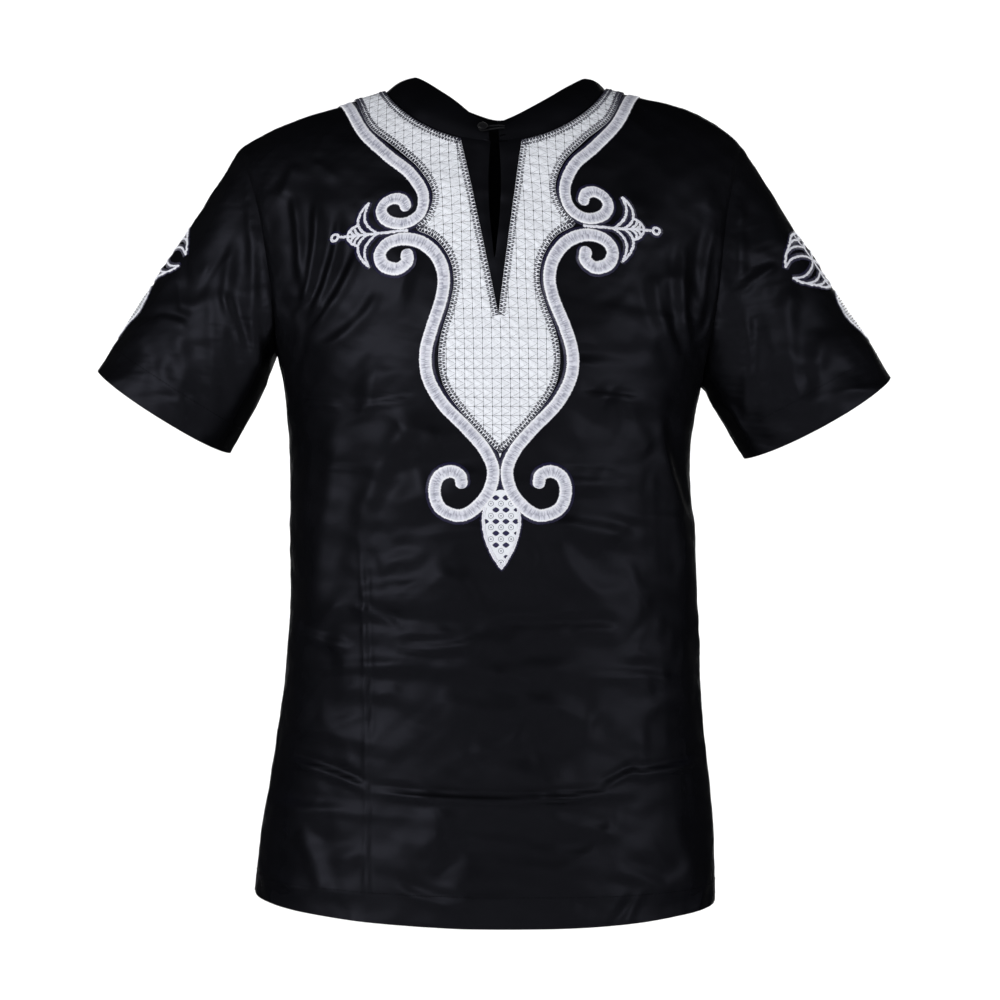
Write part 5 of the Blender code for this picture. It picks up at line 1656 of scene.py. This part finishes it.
def leaf_outline(top, widest, tip, half, count):
    """A leaf along +distance: round above its widest place and pointed at its tip."""
    upper = np.linspace(0, math.pi / 2, count)
    down_up = top + (widest - top) * (1 - np.cos(upper))
    lower = np.linspace(0, 1, count + 2)[1:]
    down = np.concatenate([down_up, widest + (tip - widest) * lower])
    wide = np.concatenate([half * np.sin(upper), half * (1 - lower**TIP_CURVE)])
    right = np.stack([wide, down], axis=-1)
    return np.vstack([right, (right * [-1, 1])[-2:0:-1]])


def oval(centre, wide, tall, count=12, pinch=1.0):
    """A closed ring of points: an ellipse, or nearer to a diamond with a higher pinch."""
    around = np.linspace(0, 2 * math.pi, count, endpoint=False)
    unit_ring = np.stack([np.cos(around), np.sin(around)], axis=-1)
    return np.array(centre) + np.sign(unit_ring) * np.abs(unit_ring) ** pinch * [wide, tall]


def flat_grid(outline, pitch, shift=0.0):
    """Flat points a pitch apart over the outline's box, every other row moved by shift."""
    low, high = outline.min(axis=0), outline.max(axis=0)
    across, down = (np.arange(low[axis], high[axis], pitch) for axis in (0, 1))
    grid = np.stack(np.meshgrid(across, down), axis=-1)
    grid[1::2, :, 0] += shift
    return grid.reshape(-1, 2)


def flat_plate(outline, holes, spots, ground, height, colour):
    """A plate of one height and colour on the cloth."""
    flat, triangles = filled(outline, holes, spots)
    base = ground.lay(flat)
    return plate(base, triangles, surface_normals(base, triangles, ground.facing), height, colour)


# %% Place the gaps and wheels
LEAF_TOP, LEAF_TIP, LEAF_WIDEST, LEAF_HALF, LEAF_CENTRE = 386.0, 453.0, 412.0, 16.4, 1.2
LEAF_MIDDLE = np.array([LEAF_CENTRE, 414])
LEAF_ROWS = (392.7, 402.9, 412.6, 422.5, 432.4, 442.2)
WHEEL_START, WHEEL_ACROSS, WHEEL_DOWN, WHEEL_RADIUS = LEAF_CENTRE - 0.4, 8.45, 9.85, 2.2
GAP_HALF_WIDE, GAP_HALF_TALL, GAP_PINCH = 3.0, 2.3, 1.5
GAP_ROOM, GAP_FULL_AT, WHEEL_ROOM = 0.8, 1.9, 1.0


def room_at(spot, outline):
    """How far a flat spot is inside an outline, or nothing where it is outside."""
    return edge_distance(spot[None], outline)[0] if is_inside(spot[None], outline)[0] else 0


leaf_edge = leaf_outline(LEAF_TOP, LEAF_WIDEST, LEAF_TIP, LEAF_HALF, 24) + [LEAF_CENTRE, 0]
inner_edge = (leaf_edge - LEAF_MIDDLE) * [0.9, 0.93] + LEAF_MIDDLE
gaps, wheels = [], []
for down in LEAF_ROWS:
    for column in range(-2, 2):
        gap = np.array([WHEEL_START + WHEEL_ACROSS * (column + 0.5), down])
        room = room_at(gap, inner_edge)
        if room > GAP_ROOM:
            size = min(1, room / GAP_FULL_AT)
            gaps.append(oval(gap, GAP_HALF_WIDE * size, GAP_HALF_TALL * size, pinch=GAP_PINCH))
    for column in range(-2, 3):
        wheel = np.array([WHEEL_START + WHEEL_ACROSS * column, down + WHEEL_DOWN / 2])
        if room_at(wheel, inner_edge) > WHEEL_ROOM:
            wheels.append(wheel)
print(len(gaps), "gaps and", len(wheels), "wheels")

# %% Embroider the leaf
LEAF_RIM = Satin(1.2, 0.65, 0.1, 0.95, 0.3, (1.6, 1.6))
LEAF_RIM_STARTS, LEAF_RIM_INSET, LEAF_RIM_LIFT = 399.0, 1.2, 0.35
LEAF_PITCH, BACKING_HEIGHT, LEAF_HEIGHT = 1.1, 0.2, 0.55
WHEEL_GREY = np.array([0.11, 0.11, 0.17])
HUB_RADIUS, HUB_THREAD, HOOP_THREAD, WHEEL_ARCH, WHEEL_LIFT = 0.45, 0.34, 0.2, 0.05, 0.6
BACKING_NAVY, LEAF_WHITE = NAVY_THREAD * 1.6, FIELD_WHITE * 0.9

spots = flat_grid(leaf_edge, LEAF_PITCH)
leaf_parts = [
    flat_plate(inner_edge, [], spots, FRONT, BACKING_HEIGHT, BACKING_NAVY),
    flat_plate(leaf_edge, gaps, spots, FRONT, LEAF_HEIGHT, LEAF_WHITE),
]
for wheel in wheels:
    hoop, hub = oval(wheel, WHEEL_RADIUS, WHEEL_RADIUS, 12), oval(wheel, HUB_RADIUS, HUB_RADIUS, 4)
    for ends, girth in ((hoop, HOOP_THREAD), (hub, HUB_THREAD)):
        look = (girth, WHEEL_ARCH, WHEEL_GREY, WHEEL_LIFT)
        leaf_parts.append(lay_threads(ends, np.roll(ends, -1, axis=0), FRONT, *look))
rim = leaf_edge[leaf_edge[:, 1] > LEAF_RIM_STARTS]
rim = rim + unit(LEAF_MIDDLE + [0, 1] - rim) * LEAF_RIM_INSET
leaf_parts.append(satin(rim, LEAF_RIM, FRONT, 77, lift=LEAF_RIM_LIFT))
leaf = make_piece("leaf_drop_openwork", leaf_parts, satin_thread)
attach(leaf, "root")
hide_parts("leaf_drop")

# %% [markdown]
# ## The sleeves' motif
# A double palmette and a leaf lie on the outer fold of each sleeve, below the cap. They
# are drawn flat too, with the distance down the sleeve's fold and the distance round it.
# They could be projected from the side, but a projection stretches what runs over the
# fold. So the sleeve is measured as a stack of rings, and a flat place is found by walking
# down the fold and then round the ring there.

# %% Measure a sleeve in rings
STATIONS, SPOKES = 90, 72
FIRST_STATION, CUFF_MARGIN = -160, 4
CUFF_DEPTH = 14.0
NEAR_WALL = 60


def cuff_middle(side):
    """The middle of the sleeve's open end."""
    cuff = CUFFS[side]
    return np.array([(cuff.outer_x + cuff.inner_x) / 2, CUFF_DEPTH, (cuff.outer_z + cuff.inner_z) / 2])


def sleeve_rings(side):
    """Rings of points round the sleeve, from its cap to its cuff, each from the fold on."""
    inside = np.array(SLEEVES[side].inside) / MM
    end = cuff_middle(side)
    axis = unit(end - inside)
    up = unit(np.array([-axis[2], 0, axis[0]]))
    up = up * np.sign(up[2])
    rings = []
    last_station = np.linalg.norm(end - inside) - CUFF_MARGIN
    for station in np.linspace(FIRST_STATION, last_station, STATIONS):
        centre = inside + axis * station
        ring = []
        for spoke in range(SPOKES):
            angle = 2 * math.pi * spoke / SPOKES
            way = up * math.cos(angle) + np.array([0, -math.sin(angle), 0])
            spot = sleeve_surface[side].ray_cast(Vector(centre) * MM, Vector(way))[0]
            if spot is None and spoke == 0:
                break
            if spot is None:
                spot = sleeve_surface[side].find_nearest(Vector(centre + way * NEAR_WALL) * MM)[0]
            ring.append(tuple(spot))
        if ring:
            rings.append(ring)
    return np.array(rings) / MM


# %% Lay a flat place on a sleeve
def lay_on_sleeve(side):
    """A function that finds the places on a sleeve of flat (across, down) points."""
    rings = sleeve_rings(side)
    fold = run_along(rings[:, 0])
    print(side, "sleeve:", len(rings), "rings,", round(float(fold[-1])), "mm down its fold")

    def lay(flat):
        spots = np.empty((len(flat), 3))
        for k, (across, down) in enumerate(flat):
            place = float(np.interp(down, fold, np.arange(len(rings))))
            low = min(int(place), len(rings) - 2)
            ring = rings[low] + (rings[low + 1] - rings[low]) * (place - low)
            loop = np.vstack([ring, ring[:1]])
            steps = run_along(loop)
            at = across % steps[-1]
            spot = Vector(read_along(at, steps, loop)) * MM
            spots[k] = sleeve_surface[side].find_nearest(spot)[0]
        return spots / MM

    return lay


# %% Draw the sleeves' motif
SLEEVE_RIBS = (
    (Rib(28.5, 0), Rib(27.3, 9.5), Rib(22.3, 18.5), Rib(16.5, 28.5), Rib(10.5, 35.5), Rib(6, 39)),
    (Rib(0, 0), Rib(4.4, 6), Rib(8.2, 17), Rib(9.3, 28), Rib(6, 39)),
    (Rib(13, 0), Rib(16.8, 9.5), Rib(18, 19), Rib(16.5, 28.5)),
    (Rib(21.8, 0), Rib(23.3, 8), Rib(22.3, 18.5)),
)
SLEEVE_RIM_RIB = 5
SLEEVE_FAN_WAIST, SLEEVE_FAN_LENGTH = 105.0, 28.5
SLEEVE_FAN_TURN = {"left": -6.0, "right": 17.0}
SLEEVE_LEAF_TURN = 3.0
SLEEVE_LEAF_TOP, SLEEVE_LEAF_TIP, SLEEVE_LEAF_HALF = 139.0, 195.0, 17.0
SLEEVE_LEAF_WIDEST = SLEEVE_LEAF_TOP + 0.4 * (SLEEVE_LEAF_TIP - SLEEVE_LEAF_TOP)
SLEEVE_RIB = RIB_SATIN._replace(half=0.85, ragged=0.3, under=(2.6, 2.6))
SLEEVE_RIM = Satin(0.95, 0.6, 0.1, 1.6, 0.6, (1.6, 1.6))
SLEEVE_RIM_INSET, SLEEVE_RIM_LIFT = 1.2, 0.3
SLEEVE_LEAF_PITCH, SLEEVE_DOT_PITCH, SLEEVE_DOT_STITCH = 1.3, 2.7, [1.3, 0.5]
SLEEVE_DOT_RADIUS, SLEEVE_DOT_ARCH, SLEEVE_DOT_LIFT = 0.6, 0.1, 0.3
SLEEVE_LEAF_GREY, SLEEVE_DOT_GREY = FIELD_WHITE * 0.6, WHEEL_GREY * 0.12


def sleeve_fan(side, ground):
    """The strokes of the double palmette: a spine, and a fan up and a fan down from it."""
    waist = np.array([SLEEVE_FAN_TURN[side], SLEEVE_FAN_WAIST])
    reach = np.array([0, SLEEVE_FAN_LENGTH])
    spine = np.stack([waist - reach, waist + reach])
    strokes = [satin(spine, SLEEVE_RIB, ground, 3, lift=SPINE_LIFT)]
    for tip in (-1, 1):
        lines = palmette_lines(SLEEVE_RIBS, waist, np.array([0, float(tip)]), np.array([1.0, 0]))
        for k, line in enumerate(lines):
            look = SLEEVE_RIM if len(line) > SLEEVE_RIM_RIB else SLEEVE_RIB
            strokes.append(rib_stroke(line, look, ground, k + 20, k))
    return strokes


def sleeve_leaf(ground):
    """A grey plate dotted with dark stitches, inside a rim of satin."""
    turn = np.array([SLEEVE_LEAF_TURN, 0])
    edge = leaf_outline(SLEEVE_LEAF_TOP, SLEEVE_LEAF_WIDEST, SLEEVE_LEAF_TIP, SLEEVE_LEAF_HALF, 16)
    edge = edge + turn
    spots = flat_grid(edge, SLEEVE_LEAF_PITCH)
    parts = [flat_plate(edge, [], spots, ground, LEAF_HEIGHT, SLEEVE_LEAF_GREY)]
    dots = flat_grid(edge, SLEEVE_DOT_PITCH, shift=SLEEVE_DOT_PITCH / 2)
    dots = dots[is_inside(dots, edge)]
    look = (SLEEVE_DOT_RADIUS, SLEEVE_DOT_ARCH, SLEEVE_DOT_GREY, SLEEVE_DOT_LIFT)
    parts.append(lay_threads(dots, dots + SLEEVE_DOT_STITCH, ground, *look))
    rim = np.vstack([edge, edge[:1]])
    rim = rim + unit(turn + [0, SLEEVE_LEAF_WIDEST + 3] - rim) * SLEEVE_RIM_INSET
    return parts + [satin(rim, SLEEVE_RIM, ground, 31, lift=SLEEVE_RIM_LIFT)]


# %% Embroider the sleeves
for way, side in SIDES:
    ground = Ground(lay_on_sleeve(side), (way, -0.2, 0.7))
    fan = make_piece(f"sleeve_fan_{side}_satin", sleeve_fan(side, ground), satin_thread)
    blade = make_piece(f"sleeve_leaf_{side}_satin", sleeve_leaf(ground), satin_thread)
    for piece, node in ((fan, "sleeve_fan_" + side), (blade, "sleeve_leaf_" + side)):
        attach(piece, "root")
        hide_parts(node)

# %% [markdown]
# ## Hems and cuffs
# The hem and the cuffs are turned up and stitched once round with black thread. The row
# is the only thing that shows on the outside, as a faint dotted line a thumb's width
# above the edge. The stitches could be pressed into the cloth as a bump, but a thread that
# stands up a little catches the light, so each one is laid down. Rays from the outside in
# find the places on the cloth.

# %% A row of stitches
HEM_STITCH, HEM_PITCH, HEM_THREAD, HEM_ARCH, HEM_LIFT = 2.6, 3.3, 0.22, 0.3, 0.05
BLACK_THREAD = np.array([0.012, 0.012, 0.016])
OUTSIDE = 1.0


def shell_tree(pieces):
    """One search tree over the pieces' faces."""
    points, faces, first = [], [], 0
    for piece in pieces:
        points += [tuple(v.co) for v in piece.data.vertices]
        faces += [[v + first for v in face.vertices] for face in piece.data.polygons]
        first = len(points)
    return BVHTree.FromPolygons(points, faces)


def stitch_row(tree, centre, first_way, second_way):
    """A row of stitches where rays from all round reach the cloth on their way to centre."""
    line, facing = [], []
    for angle in np.linspace(0, 2 * math.pi, 721):
        ray = Vector(first_way) * math.cos(angle) + Vector(second_way) * math.sin(angle)
        spot = tree.ray_cast(Vector(centre) + ray * OUTSIDE, -ray)[0]
        if spot is not None:
            line.append(tuple(spot))
            facing.append(tuple(ray))
    line = np.array(line) / MM
    facing = np.array(facing)
    run = run_along(line)
    starts_at = np.arange(0, run[-1] - HEM_PITCH, HEM_PITCH)
    starts, ends = (read_along(starts_at + ahead, run, line) for ahead in (0, HEM_STITCH))
    ways = unit(read_along(starts_at, run, facing))
    return threads(starts, ends, ways, HEM_THREAD, HEM_ARCH, 5, BLACK_THREAD, lift=HEM_LIFT)


# %% Stitch the hem and the cuffs
BODY_ROW, CUFF_ROW = BODY_HEM_TOP - 1.5, 24.0

body_tree = shell_tree([front, back])
rows = [stitch_row(body_tree, (BODY_CENTRE, 0, BODY_ROW * MM), (1, 0, HEM_TILT), (0, 1, 0))]
for side, sleeve in sleeves.items():
    cuff, middle = CUFFS[side], cuff_middle(side)
    opening = unit(np.array([cuff.inner_x - cuff.outer_x, 0, cuff.inner_z - cuff.outer_z], float))
    up = np.array(SLEEVES[side].inside) / MM - middle
    up = unit(up - opening * (up @ opening))
    up[1] = 0
    place = (middle + unit(up) * CUFF_ROW) * MM
    rows.append(stitch_row(shell_tree([sleeve]), place, opening, (0, 1, 0)))
print(len(rows), "rows of stitches")
hems = make_piece("hem_stitches", rows, cotton)
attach(hems, "root")

# %% [markdown]
# ## The button and its loop
# A black bead, cut with flat facets, sits on a short shank. The loop is a cord of two
# twisted strands that goes round the shank and is caught on the other end of the band.
# The bead is a ball of few, wide faces with its edges worn a little, because facets are
# what makes it glitter. The cord could be one round tube with a twisted bump, but at this
# size the two strands show in the outline, so both are bent along one line.
#
# How the bead sits is read from its solid. A turned solid spreads equally in the two
# directions across its axis, so the third direction is the axis.

# %% Find how the bead sits
bead_solid, loop_solid = (points_of(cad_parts[node]) for node in ("button", "button_loop"))
bead_middle = bead_solid.mean(axis=0)
spreads, ways = np.linalg.eigh(np.cov((bead_solid - bead_middle).T))
bead_out = ways[:, 0] if spreads[1] - spreads[0] > spreads[2] - spreads[1] else ways[:, 2]
bead_out = -bead_out * np.sign(bead_out[1])
heights = (bead_solid - bead_middle) @ bead_out
offsets = np.linalg.norm(bead_solid - bead_middle - heights[:, None] * bead_out, axis=1)
BEAD_RADIUS = offsets.max()
SHANK_RADIUS = offsets[(heights < heights.min() + 0.2) & (offsets > 0.3)].max()
BEAD_LOW = heights[offsets > SHANK_RADIUS + 0.5].min()
print("bead radius", round(float(BEAD_RADIUS), 1), "shank radius", round(float(SHANK_RADIUS), 1), "mm")

# %% Cut the bead
BEAD_SIDES, BEAD_RINGS, BEAD_BEVEL, FACET_ANGLE = 12, 7, 0.12, 12
SHANK_SIDES, SHANK_INTO_BEAD = 20, 0.6


def stand_along(thing, middle, way):
    """Turns a new primitive so that its Z runs along way, and moves it to middle."""
    thing.rotation_mode = "QUATERNION"
    thing.rotation_quaternion = Vector(way).to_track_quat("Z", "Y")
    thing.location = Vector(middle) * MM
    use(thing)
    bpy.ops.object.transform_apply(location=True, rotation=True, scale=True)


bead_half = (heights.max() - BEAD_LOW) / 2
bpy.ops.object.select_all(action="DESELECT")
bpy.ops.mesh.primitive_uv_sphere_add(
    segments=BEAD_SIDES, ring_count=BEAD_RINGS, radius=BEAD_RADIUS * MM
)
bead = bpy.context.object
bead.name = "faceted_bead"
bead.scale = (1, 1, bead_half / BEAD_RADIUS)
bpy.ops.object.transform_apply(scale=True)
bevel = bead.modifiers.new("worn edges", "BEVEL")
bevel.width = BEAD_BEVEL * MM
bevel.segments = 2
bpy.ops.object.modifier_apply(modifier=bevel.name)
stand_along(bead, bead_middle + bead_out * (BEAD_LOW + bead_half), bead_out)

shank_top, shank_low = BEAD_LOW + SHANK_INTO_BEAD, heights.min()
bpy.ops.object.select_all(action="DESELECT")
bpy.ops.mesh.primitive_cylinder_add(
    vertices=SHANK_SIDES, radius=SHANK_RADIUS * MM, depth=(shank_top - shank_low) * MM
)
shank = bpy.context.object
stand_along(shank, bead_middle + bead_out * (shank_top + shank_low) / 2, bead_out)
bead.select_set(True)
bpy.context.view_layer.objects.active = bead
bpy.ops.object.join()
bpy.ops.object.shade_smooth_by_angle(angle=math.radians(FACET_ANGLE))
print("bead:", len(bead.data.polygons), "faces")

# %% Lay the loop's line
LOOP_RADIUS, LOOP_ROOM, LOOP_SPREAD = 0.8, 0.3, 1.5
LEAD_LENGTH, LEAD_RISE, CAUGHT_SPREAD = 4, 0.6, 1.2
CORD_STEP = 0.3

from_bead = loop_solid - bead_middle
loop_height = ((from_bead @ bead_out)[np.linalg.norm(from_bead, axis=1) < BEAD_RADIUS]).mean()
flat_way = from_bead - (from_bead @ bead_out)[:, None] * bead_out
across = unit(flat_way[np.linalg.norm(flat_way, axis=1).argmax()])
caught = loop_solid[flat_way @ across > (flat_way @ across).max() - 0.5].mean(axis=0)
loop_up = np.cross(bead_out, across)
caught = caught - ((caught - bead_middle) @ loop_up) * loop_up
ring_middle = bead_middle + bead_out * loop_height
ring_radius = SHANK_RADIUS + LOOP_RADIUS + LOOP_ROOM
ring = [
    ring_middle + ring_radius * (across * math.cos(turn) + loop_up * math.sin(turn))
    for turn in np.radians(np.arange(-70, -291, -20))
]
lead = caught - across * LEAD_LENGTH + bead_out * LEAD_RISE
way_there = [caught - loop_up * CAUGHT_SPREAD, lead - loop_up * LOOP_SPREAD]
way_back = [lead + loop_up * LOOP_SPREAD, caught + loop_up * CAUGHT_SPREAD]
middle_line = evenly(smooth_curve(np.array([*way_there, *ring, *way_back])), CORD_STEP)
print("loop:", round(float(run_along(middle_line)[-1])), "mm of cord")

# %% Twist the cord
STRAND_RADIUS, STRAND_OFFSET, TWIST_PITCH = 0.45, 0.37, 2.6

along_line = unit(np.gradient(middle_line, axis=0))
first_side = unit(np.cross(along_line, bead_out))
second_side = np.cross(along_line, first_side)
cord_parts = []
for phase in (0, math.pi):
    twist = phase + 2 * math.pi * CORD_STEP * np.arange(len(middle_line)) / TWIST_PITCH
    offset = first_side * np.cos(twist)[:, None] + second_side * np.sin(twist)[:, None]
    strand = bpy.data.curves.new("strand", "CURVE")
    strand.dimensions = "3D"
    strand.bevel_depth = STRAND_RADIUS * MM
    strand.bevel_resolution = 2
    strand.use_fill_caps = True
    run = strand.splines.new("POLY")
    run.points.add(len(middle_line) - 1)
    for point, spot in zip(run.points, (middle_line + offset * STRAND_OFFSET) * MM):
        point.co = (*spot, 1)
    use(add_object("twisted_loop", strand))
    bpy.ops.object.convert(target="MESH")
    cord_parts.append(bpy.context.object)
for part in cord_parts:
    part.select_set(True)
bpy.ops.object.join()
cord = bpy.context.object
cord.name = "twisted_loop"
bpy.ops.object.shade_smooth()
print("cord:", len(cord.data.polygons), "faces along", len(middle_line), "places")

# %% [markdown]
# ## Glass and cord
# The bead is black glass, glossy and a little scratched. The cord is spun fibre, so it is
# rougher and never quite even. One recipe makes both: a fine grain changes the colour and
# the gloss, and raises the surface a little.

# %% Finish the bead and the cord
Trim = namedtuple("Trim", "name dark light glossy rough grain depth")
BEAD_GLASS = Trim("black_glass_bead", (0.002, 0.002, 0.003), (0.006, 0.006, 0.007), 0.12, 0.3, 700.0, 3e-5)
CORD_FIBRE = Trim("black_cord_fibre", (0.003, 0.003, 0.004), (0.009, 0.009, 0.011), 0.6, 0.8, 3000.0, 1e-4)


def make_trim(trim):
    """A nearly black finish whose colour and gloss change a little over the piece."""
    material, tree, shader = new_finish(trim.name)
    grain = noise(tree, Scale=trim.grain, Detail=4.0, Roughness=0.6)
    tree.links.new(blend_colours(tree, grain, trim.dark, trim.light), shader.inputs["Base Color"])
    tree.links.new(remap(tree, grain, trim.glossy, trim.rough), shader.inputs["Roughness"])
    tree.links.new(raised(tree, grain, 0.5, trim.depth), shader.inputs["Normal"])
    shader.inputs["Specular IOR Level"].default_value = 0.2
    return material


bead_gloss, cord_fibre = make_trim(BEAD_GLASS), make_trim(CORD_FIBRE)
for piece, node, finish, slot in (
    (bead, "button", bead_gloss, "black_bead"),
    (cord, "button_loop", cord_fibre, "black_cord"),
):
    piece.data.materials.clear()
    piece.data.materials.append(finish)
    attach(piece, "root")
    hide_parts(node)
